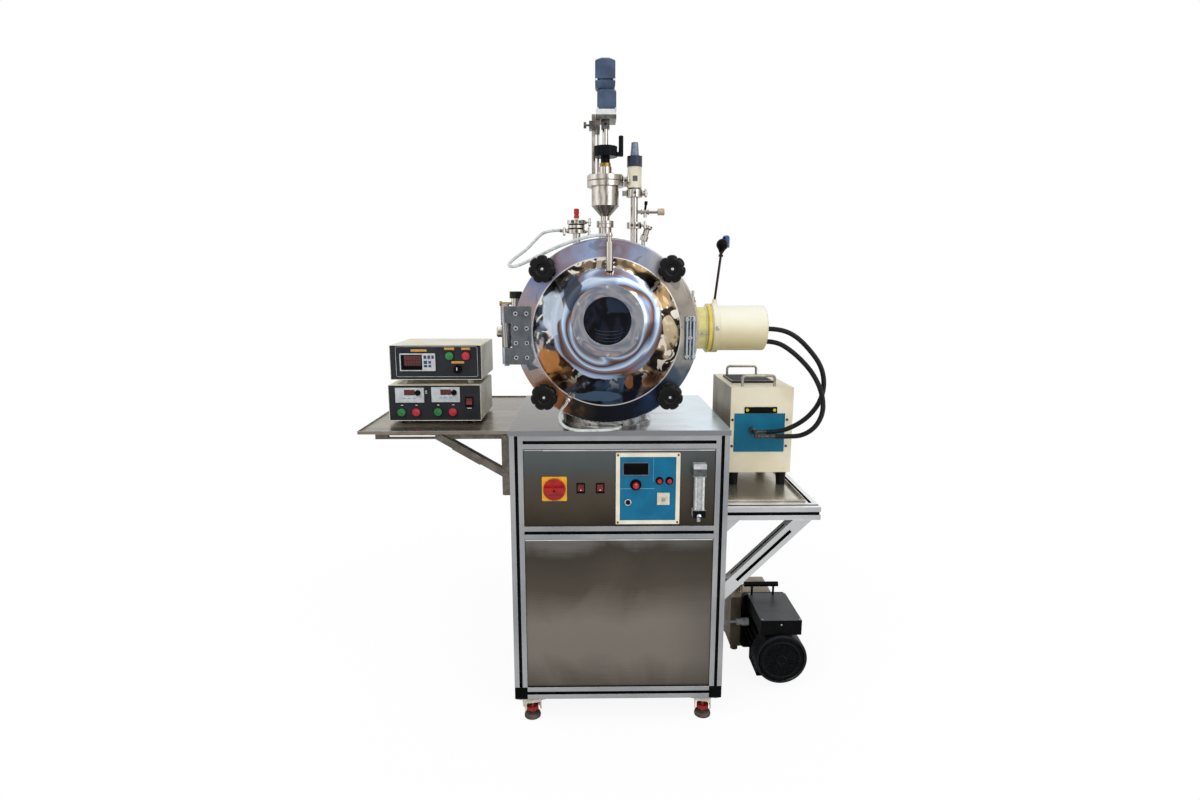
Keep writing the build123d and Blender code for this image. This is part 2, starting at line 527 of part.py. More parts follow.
# ================= control boxes =================
LOWER_BOX = (TRAY_LEFT + 59.0, TRAY_SURFACE + 9.0, 283.0, 112.0)       # left x, bottom z, width, height
UPPER_BOX = (TRAY_LEFT + 69.0, LOWER_BOX[1] + LOWER_BOX[3] + 16.0, 279.0, 106.0)
UPPER_BUTTONS = {"upper_green_button": (182.0, 73.0), "upper_red_button": (232.0, 73.0)}
UPPER_SELECTOR, SELECTOR_R, SELECTOR_T = (205.0, 32.0), 13.0, 14.0
LOWER_BUTTONS = {
    "lower_green_button_left": (39.0, 27.0), "lower_red_button_left": (84.0, 27.0),
    "lower_green_button_right": (151.0, 28.0), "lower_red_button_right": (196.5, 28.0),
}
LOWER_ROCKER = (246.5, 59.0)
UPPER_DISPLAY = (31.0, 139.0, 27.0, 82.0)
LOWER_MODULES = ((22.0, 111.0, 57.0, 103.0), (133.0, 221.0, 57.0, 103.0))


def controller_box(box, holes, raised, feet_to):
    """A sheet case open at the front, its front panel with raised modules, and four feet."""
    x0, z0, w, h = box
    x, z = (x0, x0 + w), (z0, z0 + h)
    y = (BOX_FRONT_Y, BOX_FRONT_Y + BOX_D)
    case = block(x, y, z)
    case = fillet(case.edges().filter_by(Axis.Y), 3.0)
    inner_x = (x[0] + BOX_WALL, x[1] - BOX_WALL)
    inner_z = (z[0] + BOX_WALL, z[1] - BOX_WALL)
    case -= block(inner_x, (y[0] - 1, y[1] - BOX_WALL), inner_z)
    face = y[0] + 3.0
    panel = block((inner_x[0] + 0.1, inner_x[1] - 0.1), (face, face + BOX_PANEL_T), (inner_z[0] + 0.1, inner_z[1] - 0.1))
    for a, b, c, d in raised:
        panel += block((x0 + a, x0 + b), (face - 2, face + 1), (z0 + c, z0 + d))
    for hole in holes:
        panel -= hole
    feet = []
    for fx in (x[0] + 40, x[1] - 40):
        for fy in (y[0] + 25, y[1] - 25):
            feet.append(turned([(0, 0), (BOX_FOOT_R - 2, 0), (BOX_FOOT_R, z0 - feet_to), (0, z0 - feet_to)], (fx, fy, feet_to)))
    return [case, panel] + feet


def push_button(x, z, face):
    """A button's cap and stem; it slides back through its bezel."""
    stem = rod((x, face - BEZEL_T - BUTTON_L + 2, z), "y", BUTTON_R, BUTTON_L + BEZEL_T + 3)
    return fillet(stem.edges().filter_by(GeomType.CIRCLE).group_by(Axis.Y)[0], 1.2)


def button_hole(x, z, face):
    return rod((x, face - 10, z), "y", BUTTON_R + 0.15, 20)


def bezel(x, z, face):
    return pipe((x, face - BEZEL_T, z), "y", BEZEL_R, BUTTON_R + 0.15, BEZEL_T)


def make_boxes():
    face = BOX_FRONT_Y + 3.0
    ux, uz = UPPER_BOX[:2]
    lx, lz = LOWER_BOX[:2]
    upper = {n: (ux + p[0], uz + p[1]) for n, p in UPPER_BUTTONS.items()}
    lower = {n: (lx + p[0], lz + p[1]) for n, p in LOWER_BUTTONS.items()}
    sx, sz = ux + UPPER_SELECTOR[0], uz + UPPER_SELECTOR[1]
    rx, rz = lx + LOWER_ROCKER[0], lz + LOWER_ROCKER[1]
    shaft = rod((sx, face - 1, sz), "y", 3 + RUNNING, 12)
    holes = [button_hole(*p, face) for p in upper.values()] + [shaft]
    solids = controller_box(UPPER_BOX, holes, [UPPER_DISPLAY], LOWER_BOX[1] + LOWER_BOX[3])
    solids += [bezel(*p, face) for p in upper.values()]
    save("upper_controller", *solids)
    slot = block(span(rx, ROCKER_W / 2 + 2), (face - 5, face + 10), span(rz, ROCKER_H / 2 + 2))
    holes = [button_hole(*p, face) for p in lower.values()] + [slot]
    solids = controller_box(LOWER_BOX, holes, LOWER_MODULES, TRAY_SURFACE)
    solids += [bezel(*p, face) for p in lower.values()]
    solids.append(rocker_bezel(rx, rz, face))
    save("lower_controller", *solids)
    for name, place in {**upper, **lower}.items():
        save(name, push_button(*place, face))
    save("lower_rocker", rocker_key(rx, rz, face))
    knob = turned([(0, -8), (3, -8), (3, PLUG_GAP), (SELECTOR_R, PLUG_GAP), (SELECTOR_R - 1, 5), (0, 5)], (sx, face, sz), "-y")
    grip = block(span(sx, SELECTOR_R - 1), (face - SELECTOR_T, face - 3), span(sz, 4))
    save("upper_selector", knob + Pos(sx, 0, sz) * Rot(0, -40, 0) * Pos(-sx, 0, -sz) * grip)


# ================= chamber =================
AT_CHAMBER = Pos(CH_X, 0, CH_Z)
LEFT_FEED_Z, LEFT_GAUGE_Z = -11.0, 101.5    # heights above the chamber's axis
TOP_PORT_R, SIDE_PORT_R, SIDE_BORE_R = 24.0, 56.0, 48.0
JACKET_ELBOW = ((-101.6, 30.0, 13.0 - CH_R), (-93.2, 28.2, 2.0 - CH_R))     # each hose fitting's joint and mouth
DOOR_NOZZLE = ((-108.0, -50.0, 27.0 - CH_R), (-121.8, -50.0, 7.4 - CH_R))
PORT_TOPS = {"left": (-86.0, 16.0), "middle": (0.0, TOP_PORT_R), "right": (86.5, 15.0)}
LEG_T = 6.0


def dish(radius, depth):
    """A spherical cap whose rim lies on the XY plane and whose crown points up."""
    ball = (radius**2 + depth**2) / (2 * depth)
    return Pos(0, 0, depth - ball) * Sphere(ball) & Cylinder(radius, depth + 1, align=UP)


def chamber_height(x):
    """Height of the chamber's outside above its axis, a distance sideways."""
    return sqrt(CH_R**2 - x**2)


def make_chamber():
    inner = CH_R - CH_WALL
    front, back = FLANGE_Y, CH_BACK
    jacket_y = FLANGE_Y + FLANGE_T + CH_SKIN
    body = pipe((0, front, 0), "y", FLANGE_R, inner, FLANGE_T)
    body += pipe((0, front, 0), "y", CH_R, inner, back - front)
    body -= pipe((0, jacket_y, 0), "y", CH_R - CH_SKIN, inner + CH_SKIN, back - CH_SKIN - jacket_y)
    head = dish(CH_R, HEAD_DEPTH) - dish(CH_R - CH_SKIN, HEAD_DEPTH - CH_SKIN)
    body += Pos(0, back - 0.5, 0) * TURN["y"] * head
    body += rod((CH_R - 30, CH_Y, 0), "x", SIDE_PORT_R, 45)
    body += rod((-CH_R + 12, CH_Y, LEFT_FEED_Z), "-x", 16, 24)
    body += rod((-CH_R + 48, CH_Y, LEFT_GAUGE_Z), "-x", 10, 30)
    body -= rod((18 - CH_R, CH_Y, LEFT_GAUGE_Z), "-x", 6, 30)
    top_of_flange = FLANGE_R + 2
    for x, radius in PORT_TOPS.values():
        low = chamber_height(abs(x) + radius) - 6
        body += rod((x, CH_Y, low), "z", radius, top_of_flange - low - 44)
    for x, radius in PORT_TOPS.values():
        body -= rod((x, CH_Y, inner - 60), "z", radius - 4, FLANGE_R)
    body -= rod((0, CH_Y, 0), "x", SIDE_BORE_R, FLANGE_R)
    body -= rod((0, CH_Y, LEFT_FEED_Z), "-x", 6 + RUNNING, FLANGE_R)
    inside, outside = SEAL_R - SEAL_W / 2, SEAL_R + SEAL_W / 2
    body -= pipe((0, FLANGE_Y, 0), "y", outside, inside, SEAL_DEPTH)
    body += hinge_base() + jacket_elbow()
    seal = turned([(inside, SEAL_DEPTH), (outside, SEAL_DEPTH), (outside, 0), (outside - 1, -SEAL_PROUD),
                   (inside + 1, -SEAL_PROUD), (inside, 0)], (0, FLANGE_Y, 0), "y")
    pedestal = chamber_pedestal()
    save("chamber_shell", AT_CHAMBER * body, AT_CHAMBER * seal, *pedestal)


def hinge_base():
    """The fixed knuckle and its bracket on the edge of the chamber's flange."""
    x, y = HINGE_X - CH_X, HINGE_Y
    middle = (HINGE_LOW + HINGE_HIGH) / 2 - CH_Z
    half = KNUCKLE + 12
    base = block((x - 12, x + 52), (FLANGE_Y, FLANGE_Y + FLANGE_T), span(middle, half))
    base += block(span(x, 12), (y, FLANGE_Y), span(middle, half))
    base += rod((x, y, middle - half), "z", 12, 2 * half)
    return base - rod((x, y, middle - half - 1), "z", HINGE_PIN_R + RUNNING, 2 * half + 2)


def jacket_elbow():
    """The cooling hose's elbow, welded low on the left behind the flange."""
    ball, mouth = JACKET_ELBOW
    seat = (ball[0] + 8, ball[1], ball[2] + 16)
    item = stub(ball, mouth, 6) + Pos(*ball) * Sphere(8) + stub(ball, seat, 7)
    return item


def chamber_pedestal():
    """A short cylinder under the chamber, cut to its curve, on a bolted foot ring."""
    base = Pos(CH_X, CH_Y, TABLE_TOP)
    tube = pipe((0, 0, 0), "z", PEDESTAL_R, PEDESTAL_R - PEDESTAL_WALL, CH_Z - TABLE_TOP)
    ring = pipe((0, 0, 0), "z", FOOT_RING_R, PEDESTAL_R - PEDESTAL_WALL, FOOT_RING_T)
    bolt = Pos(FOOT_RING_R - 6, 0, FOOT_RING_T) * Cylinder(4, 4, align=UP)
    for item in ring_of(bolt, 8, 22.5):
        ring += item
    drum = rod((CH_X, -100, CH_Z), "y", CH_R, CAB_D)
    return [base * (tube + ring) - drum]


# ================= ports on the sides =================
PORT_X = CH_X + CH_R + 17.0                 # where the sealed feedthrough's clamp flange starts
RIGHT_PORT = ((0.0, 90.0), (18.0, 90.0), (18.0, 56.0), (76.0, 56.0), (76.0, 68.5), (89.0, 68.5))
PORT_BORE_R, SHAFT_R = 22.0, 20.0
COVER_X = (PORT_X + 89.3, PORT_X + 256.0)
COVER_R = 68.5
CLAMPS, CLAMP_R = 6, 80.0
LEVER_FOOT, LEVER_HEAD = (COVER_X[0] + 11.7, 65.0), (COVER_X[0] + 32.5, 250.5)     # (x, height above the axis)
LEVER_R, LEVER_HEAD_R, LEVER_CAP_R = 3.8, 18.0, 11.0
CABLE_R = 8.0
CABLE_PORTS = (-3.0, -42.0)                 # heights of the two power cables above the axis
TILT_AXIS = (CH_Y, CH_Z)


GAUGE_REACH = 57.0                          # the left gauge's axis from the chamber's side
# (radius, height above its tube)
GAUGE_BODY = (
    (0, -42), (13, -42), (15, -40), (15, -11), (19.5, -11), (19.5, -5), (18.3, -4), (19.5, -3), (19.5, 2), (18.3, 3),
    (19.5, 4), (19.5, 8), (17, 10), (0, 10),
)


def make_side_ports():
    axis_y, axis_z = TILT_AXIS
    outline = [(PORT_BORE_R, RIGHT_PORT[0][0])] + [(r, x) for x, r in RIGHT_PORT]
    outline.append((PORT_BORE_R, RIGHT_PORT[-1][0]))
    port = turned(outline, (PORT_X, axis_y, axis_z), "x")
    port -= pipe((PORT_X + 33, axis_y, axis_z), "x", 60, 52, 20)
    nozzle = pipe((PORT_X - 2, axis_y, axis_z), "x", 90, SIDE_BORE_R, 1.8)
    clamp = Pos(CLAMP_R, 0, 0) * (Pos(0, 0, -8) * Cylinder(7, 48, align=UP))
    clamps = [Pos(PORT_X, axis_y, axis_z) * TURN["x"] * c for c in ring_of(clamp, CLAMPS, 30)]
    for item in clamps:
        port -= item
    barb = turned([(0, 0), (7, 0), (7, 10), (4, 12), (4, 30), (0, 30)], (PORT_X + 36, axis_y, axis_z + 84))
    barb -= rod((PORT_X + 36, axis_y, axis_z + 84), "z", 2, 31)
    port += block((PORT_X + 27, PORT_X + 45), span(axis_y, 8), (axis_z + 40, axis_z + 85))
    left = left_feedthroughs(axis_y)
    save("side_ports", port, nozzle, *clamps, barb, *left)


def left_feedthroughs(y):
    """On the left: an upright gauge head with its bead chain, and a sealed push-rod below it."""
    x = CH_X - CH_R
    z = CH_Z + LEFT_GAUGE_Z
    head = turned(GAUGE_BODY, (x - GAUGE_REACH, y, z)) + rod((x + 18, y, z), "-x", 6, GAUGE_REACH)
    knurl = rod((x - GAUGE_REACH, y, z - 26.5), "-x", 4, 50) + rod((x - 107, y, z - 26.5), "x", 7, 8)
    gland_z = CH_Z + LEFT_FEED_Z
    gland = pipe((x - 12, y, gland_z), "-x", 13, 6 + RUNNING, 28)
    gland += block((x - 52, x - 14), span(y, 6), (gland_z - 44, gland_z - 12))
    chain = [Pos(x - 103, y, z - 30 - 4.6 * i) * Sphere(2.2) for i in range(1, 14)]
    return [head + knurl, gland] + chain


def feed_rod():
    """The push-rod through the left gland, with its chrome knob."""
    x, y, z = CH_X - CH_R - 117, CH_Y, CH_Z + LEFT_FEED_Z
    item = rod((x, y, z), "x", 6, 190)
    return item + turned([(0, 0), (14, 0), (16.5, 3), (16.5, 16), (14, 19), (0, 19)], (x, y, z), "x")


# ================= tilting crucible =================
CRUCIBLE_R, CRUCIBLE_WALL, CRUCIBLE_Z, CRUCIBLE_H = 45.0, 8.0, -40.0, 100.0
COIL_R, COIL_TURNS, COIL_PITCH, COIL_Z = 60.0, 6, 15.0, -50.0
COIL_TUBE = 9.0


def make_tilt_unit():
    y, z = TILT_AXIS
    cover = turned([(0, 0), (COVER_R, 0), (COVER_R, COVER_X[1] - COVER_X[0] - 3),
                    (COVER_R - 3, COVER_X[1] - COVER_X[0]), (0, COVER_X[1] - COVER_X[0])], (COVER_X[0], y, z), "x")
    cover -= rod((COVER_X[0] + 8, y, z), "x", COVER_R - 6, COVER_X[1] - COVER_X[0] - 16)
    shaft = rod((CH_X + COIL_R + 22, y, z), "x", SHAFT_R, COVER_X[0] + 1 - CH_X - COIL_R - 22)
    cover += shaft
    fittings = [rod((COVER_X[1], y, z + h), "x", CABLE_R + 2, 8) for h in CABLE_PORTS]
    save("feed_cover", cover, *fittings)
    save("tilt_lever", *lever(y, z))
    save("melting_coil", *coil(y, z))
    pot = turned([
        (0, 0), (CRUCIBLE_R - 4, 0), (CRUCIBLE_R, 5), (CRUCIBLE_R, CRUCIBLE_H),
        (CRUCIBLE_R - CRUCIBLE_WALL, CRUCIBLE_H), (CRUCIBLE_R - CRUCIBLE_WALL, 14), (CRUCIBLE_R - 13, 9), (0, 9)])
    spout = Pos(0, -CRUCIBLE_R + 4, CRUCIBLE_H + 3) * Rot(0, 90, 90) * Cylinder(10, 24)
    save("crucible", Pos(CH_X, y, z + CRUCIBLE_Z) * (pot - spout))


def lever(y, z):
    """A collar round the cover, a slim arm from its socket, a nut, and a ball grip with a capped stub behind it."""
    collar = pipe((LEVER_FOOT[0] - 9, y, z), "x", COVER_R + 6, COVER_R, 18)
    run = LEVER_HEAD[0] - LEVER_FOOT[0]
    rise = LEVER_HEAD[1] - LEVER_FOOT[1]
    length = sqrt(run**2 + rise**2)
    arm = Cylinder(LEVER_R, length, align=UP)
    arm += turned([(0, 0), (LEVER_R + 5, 0), (LEVER_R + 3, 22), (0, 22)])
    arm += turned([(0, length - 36), (LEVER_R + 3, length - 36), (LEVER_R + 3, length - 29), (0, length - 29)])
    arm += turned([(0, length - 27), (LEVER_R + 1, length - 27), (LEVER_HEAD_R - 6, length - 12), (0, length - 12)])
    arm = Pos(LEVER_FOOT[0], y, z + LEVER_FOOT[1]) * Rot(0, degrees_of(run, rise), 0) * arm
    arm -= rod((LEVER_FOOT[0] - 20, y, z), "x", COVER_R + 3, 60)
    head = (LEVER_HEAD[0], y, z + LEVER_HEAD[1])
    ball = Pos(*head) * Sphere(LEVER_HEAD_R)
    stub_out = (head[0] + 14, y + 16, head[2] - 8)
    cap = turned([(0, 0), (LEVER_CAP_R, 0), (LEVER_CAP_R, 31), (LEVER_CAP_R - 4, 36), (0, 36)], stub_out)
    return [arm + collar + ball - cap, cap]


def coil(y, z):
    """Stacked turns of copper tube round the crucible, held by a bar and a yoke on the tilting shaft."""
    turns = []
    for i in range(COIL_TURNS):
        turns.append(pipe((CH_X, y, z + COIL_Z + COIL_PITCH * i), "z", COIL_R + COIL_TUBE, COIL_R, COIL_TUBE))
    top = z + COIL_Z + COIL_PITCH * (COIL_TURNS - 1) + COIL_TUBE
    bar = block((CH_X + COIL_R, CH_X + COIL_R + 22), span(y, 16), (z + COIL_Z, top))
    seat = pipe((CH_X, y, z + COIL_Z - 8), "z", COIL_R + COIL_TUBE, CRUCIBLE_R - 14, 8)
    liner = pipe((CH_X, y, z + COIL_Z), "z", COIL_R, CRUCIBLE_R + 1, CRUCIBLE_Z - COIL_Z)
    copper = bar
    for item in turns:
        copper += item
    return [copper, seat, liner]


# ================= door =================
def make_door():
    front = FLANGE_Y - DOOR_GAP - FLANGE_T
    rear = FLANGE_Y - DOOR_GAP
    ring = pipe((0, front, 0), "y", FLANGE_R, DISH_R - 10, rear - front)
    ring = fillet(ring.edges().filter_by(GeomType.CIRCLE).group_by(Axis.Y)[0].sort_by(SortBy.RADIUS)[-1], 3.0)
    shell = dish(DISH_R, DISH_DEPTH) - dish(DISH_R - DOOR_SKIN, DISH_DEPTH - DOOR_SKIN)
    shell = Pos(0, front + 0.5, 0) * TURN["-y"] * shell
    neck_y = WINDOW_Y + WINDOW_T
    bore = GLASS_R - 3
    neck = rod((0, neck_y, WINDOW_RISE), "y", WINDOW_R - 12, front - neck_y - 8)
    neck += rod((0, neck_y, WINDOW_RISE), "y", WINDOW_R, 12)
    body = ring + shell + neck + door_fittings()
    body -= rod((0, neck_y - 1, WINDOW_RISE), "y", bore, 200)
    body -= rod((0, neck_y - 1, WINDOW_RISE), "y", GLASS_R + 6, GLASS_T + 1)
    body -= Pos(0, front + 0.5, 0) * TURN["-y"] * dish(DISH_R - DOOR_SKIN, DISH_DEPTH - DOOR_SKIN)
    for corner in range(4):
        body -= Rot(0, 45 + 90 * corner, 0) * Pos(KNOB_PCD_R, 0, 0) * rod((0, front - 1, 0), "y", 6.2, FLANGE_T + 2)
    save("door_shell", AT_CHAMBER * (body + door_hinge()), hinge_pin())
    make_window()
    knob = star_knob(front)
    save("star_knobs", *[AT_CHAMBER * Rot(0, 45 + 90 * i, 0) * item for i in range(4) for item in knob])


def door_fittings():
    """Two cooling fittings welded to the door: an elbow at the top and a nozzle at the lower left."""
    x, y, low = 7.5, -55, DISH_R - 38
    top = rod((x, y, low), "z", 10, 77) + rod((x, y, low + 77), "z", 6.5, 18)
    top += Pos(x, y, low + 95) * Sphere(8) + rod((x, y, low + 95), "-x", 6.5, 10)
    ball, mouth = DOOR_NOZZLE
    back = (ball[0], FLANGE_Y - DOOR_GAP - 5, ball[2])
    boss = stub(ball, back, 8) + Pos(*ball) * Sphere(8) + stub(ball, mouth, 6)
    return top + boss


def door_hinge():
    """The hinge's plate on the door ring, its two knuckles and a strap to the ring's lower left."""
    x, y = HINGE_X - CH_X, HINGE_Y
    front = FLANGE_Y - DOOR_GAP - FLANGE_T
    low, high = HINGE_LOW - CH_Z, HINGE_HIGH - CH_Z
    plate = block((x + 18, x + 72), (front - 12, front), (low, high))
    plate = fillet(plate.edges().filter_by(Axis.Y), 3.0)
    middle = (low + high) / 2
    free = KNUCKLE + 13
    for z0, z1 in ((low, middle - free), (middle + free, high)):
        plate += rod((x, y, z0), "z", 12, z1 - z0)
        plate += block((x, x + 19), (front - 12, front + 2), (z0, z1))
    strap = pipe((0, front - 8, 0), "y", DISH_R + 34, DISH_R + 4, 8)
    corners = [(0, 0), (-400, low + 8), (-400, -400 * tan(radians(STRAP_END)))]
    strap &= extrude(make_face(Plane.XZ * Polyline(*corners, close=True)), 400, both=True)
    plate += strap
    for col in (30, 60):
        for row in range(4):
            plate += rod((x + col, front - 18, low + 20 + row * (high - low - 40) / 3), "y", 6, 6)
    return plate - rod((x, y, low - 1), "z", HINGE_PIN_R, high - low + 2)


def hinge_pin():
    pin = rod((HINGE_X, HINGE_Y, HINGE_LOW - 6), "z", HINGE_PIN_R, HINGE_HIGH - HINGE_LOW + 12)
    pin += rod((HINGE_X, HINGE_Y, HINGE_HIGH), "z", 10, 6)
    return pin


def make_window():
    place = Pos(CH_X, WINDOW_Y, CH_Z + WINDOW_RISE) * TURN["y"]
    bore = GLASS_R - 2.5
    ring = Cylinder(WINDOW_R, WINDOW_T, align=UP) - Cylinder(bore, WINDOW_T, align=UP)
    ring = fillet(ring.edges().filter_by(GeomType.CIRCLE).group_by(Axis.Z)[0], 1.5)
    glass = Pos(0, 0, WINDOW_T) * Cylinder(GLASS_R + 5.8, GLASS_T - 0.2, align=UP)
    screw = Pos(WINDOW_BOLT_R, 0, -3) * Cylinder(4, 3, align=UP)
    save("door_window", place * ring, place * glass, *[place * s for s in ring_of(screw, WINDOW_BOLTS, 30)])


def star_knob(front):
    """A lobed hand wheel on a stud that clamps the door's ring."""
    disc = Circle(KNOB_R)
    for i in range(KNOB_LOBES):
        disc -= Rot(0, 0, 360 / KNOB_LOBES * i) * Pos(KNOB_R + 3, 0) * Circle(9)
    grip = extrude(disc, KNOB_L)
    grip += Pos(0, 0, KNOB_L) * Cylinder(16, 14, align=UP)
    grip += Pos(0, 0, KNOB_L + 14) * Cylinder(12, front - KNOB_FRONT - KNOB_L - 14, align=UP)
    grip -= Pos(0, 0, -1) * Cylinder(6, KNOB_L + 60, align=UP)
    stud = Pos(0, 0, -2) * Cylinder(6, front - KNOB_FRONT + 20, align=UP)
    return [Pos(KNOB_PCD_R, KNOB_FRONT, 0) * TURN["y"] * item for item in (grip, stud)]


# ================= doser and stirrer column =================
# (radius, height above the chamber's top)
DOSER = (
    (9.5, -5.0), (TOP_PORT_R - 4.2, -5.0), (TOP_PORT_R - 4.2, 85.0), (26.0, 85.0), (26.0, 94.5), (24.0, 95.0), (26.0, 95.5),
    (26.0, 104.0), (13.5, 104.0), (13.5, 117.0), (41.0, 147.0), (41.0, 202.0), (54.5, 202.0), (54.5, 216.0),
    (52.0, 217.5), (54.5, 219.0), (54.5, 233.0), (19.5, 233.0), (19.5, 258.0), (9.5, 258.0),
    (9.5, 236.0), (35.0, 225.0), (38.0, 150.0), (10.5, 121.0), (9.5, 115.0),
)
BRASS_RING = (16.5, 258.0, 269.0)
HANDWHEEL_Z, HANDWHEEL_R, HANDWHEEL_T = 287.0, 35.0, 29.0
CRANK_X, CRANK_R, CRANK_H = 46.0, 7.0, 48.0
SLEEVE_R, ROD_R, COLUMN_BORE = 8.5, 5.0, 9.5
SLEEVE_Z = 301.0
PADDLE_OVER, PADDLE_H, PADDLE_HALF = 19.0, 22.0, 26.0
GUIDE_X, GUIDE_R = -21.0, 3.5
GUIDE_Y = 38.0
RAIL_X = (-40.0, -29.0)
COUPLING_Z, BRACKET_Z, PLATE_Z, GEARHEAD_Z, MOTOR_Z = 365.0, 384.0, 400.0, 415.0, 472.0
MOTOR_TOP = 554.0
FLANGE_LOW, FLANGE_TOP = 202.0, 233.0       # the vessel's double flange
LIFT = 40.0
AT_COLUMN = Pos(CH_X, CH_Y, CH_Z + CH_R)


def make_column():
    vessel = turned(DOSER) + block((RAIL_X[0] - 5, -24), (24, GUIDE_Y + 8), (FLANGE_LOW, FLANGE_TOP))
    vessel -= rod((0, 0, FLANGE_LOW), "z", COLUMN_BORE, 20)
    brass = pipe((0, 0, BRASS_RING[1]), "z", BRASS_RING[0], COLUMN_BORE, BRASS_RING[2] - BRASS_RING[1])
    flange_z, top = FLANGE_TOP, PLATE_Z + 14
    rail = block(RAIL_X, (GUIDE_Y - 6, GUIDE_Y + 6), (flange_z, top))
    guide = rod((GUIDE_X, GUIDE_Y, flange_z), "z", GUIDE_R, PLATE_Z - LIFT - 1 - flange_z)
    bolts = [AT_COLUMN * b for b in ring_of(Pos(48.5, 0, flange_z) * Cylinder(3.5, 4, align=UP), 8, 22.5)]
    save("doser_vessel", *[AT_COLUMN * s for s in (vessel, brass, rail, guide)], *bolts)
    save("doser_handwheel", *[AT_COLUMN * s for s in handwheel()])
    save("stirrer_motor", *[AT_COLUMN * s for s in stirrer_carriage()])
    save("stirrer_shaft", AT_COLUMN * stirrer())


def handwheel():
    """The doser's notched wheel, its hollow stub and its crank."""
    low = BRASS_RING[2] + PLUG_GAP
    wheel = Circle(HANDWHEEL_R)
    for i in range(16):
        wheel -= Rot(0, 0, 22.5 * i + 11) * Pos(HANDWHEEL_R + 0.5, 0) * Circle(2.5)
    wheel = Pos(0, 0, HANDWHEEL_Z) * extrude(wheel, HANDWHEEL_T)
    wheel += rod((0, 0, low), "z", 13.5, HANDWHEEL_Z - low)
    wheel += block((20, CRANK_X), (-7, 7), (HANDWHEEL_Z + 2, HANDWHEEL_Z + 14)) + rod((CRANK_X, 0, HANDWHEEL_Z + 2), "z", CRANK_R, 12)
    wheel -= rod((0, 0, low - 1), "z", COLUMN_BORE, 80)
    crank = rod((CRANK_X, 0, HANDWHEEL_Z + 14), "z", CRANK_R, CRANK_H - 2)
    return wheel, fillet(crank.edges().group_by(Axis.Z)[-1], 2.0)


def stirrer_carriage():
    """The motor, its gearhead and the bracket that rides on the rail."""
    bracket = block((RAIL_X[1] + RUNNING, 31), (-28, GUIDE_Y + 14), (BRACKET_Z + 4, PLATE_Z))
    bracket += block((RAIL_X[1] + RUNNING, -16), (-20, GUIDE_Y + 14), (BRACKET_Z - 24, BRACKET_Z + 4))
    coupling = block((-12, 12), (-12, 12), (COUPLING_Z, BRACKET_Z + 4))
    bracket -= coupling
    coupling -= rod((0, 0, COUPLING_Z - 1), "z", SLEEVE_R + 0.4, 40)
    bracket -= rod((0, 0, COUPLING_Z - 1), "z", SLEEVE_R + 0.4, 28)
    bracket -= rod((GUIDE_X, GUIDE_Y, BRACKET_Z - 25), "z", GUIDE_R + RUNNING, PLATE_Z)
    clamp = block((RAIL_X[0] - 8, RAIL_X[1] + RUNNING), span(GUIDE_Y, 14), (BRACKET_Z - 14, BRACKET_Z + 10))
    clamp -= block((RAIL_X[0] - RUNNING, RAIL_X[1] + 1), span(GUIDE_Y, 6 + RUNNING), (COUPLING_Z, PLATE_Z + 60))
    clamp += rod((RAIL_X[0] - 8, GUIDE_Y, BRACKET_Z), "-x", 3, 8) + rod((RAIL_X[0] - 16, GUIDE_Y, BRACKET_Z), "-x", 9, 8)
    plate = block((-28, 29), (-28, 28), (PLATE_Z, GEARHEAD_Z))
    gear = block((-24, 31), (-27, 28), (GEARHEAD_Z, MOTOR_Z))
    gear = chamfer(gear.edges().filter_by(Axis.Z), 5.0)
    motor = block((-30, 28), (-29, 29), (MOTOR_Z, MOTOR_TOP))
    motor = chamfer(motor.edges().filter_by(Axis.Z), 8.0)
    motor -= block((-40, -27), (-40, 40), (MOTOR_Z + 16, MOTOR_Z + 20)) + block((25, 40), (-40, 40), (MOTOR_Z + 16, MOTOR_Z + 20))
    return bracket + clamp, coupling, plate, gear, motor


def stirrer():
    """The turning sleeve under the motor, its rod and the paddle over the crucible."""
    paddle_z = CRUCIBLE_Z + CRUCIBLE_H + PADDLE_OVER - CH_R
    shaft = rod((0, 0, SLEEVE_Z), "z", SLEEVE_R, BRACKET_Z - 2 - SLEEVE_Z)
    shaft += rod((0, 0, paddle_z), "z", ROD_R, SLEEVE_Z - paddle_z)
    return shaft + block(span(0, PADDLE_HALF), span(0, 2), (paddle_z, paddle_z + PADDLE_H))


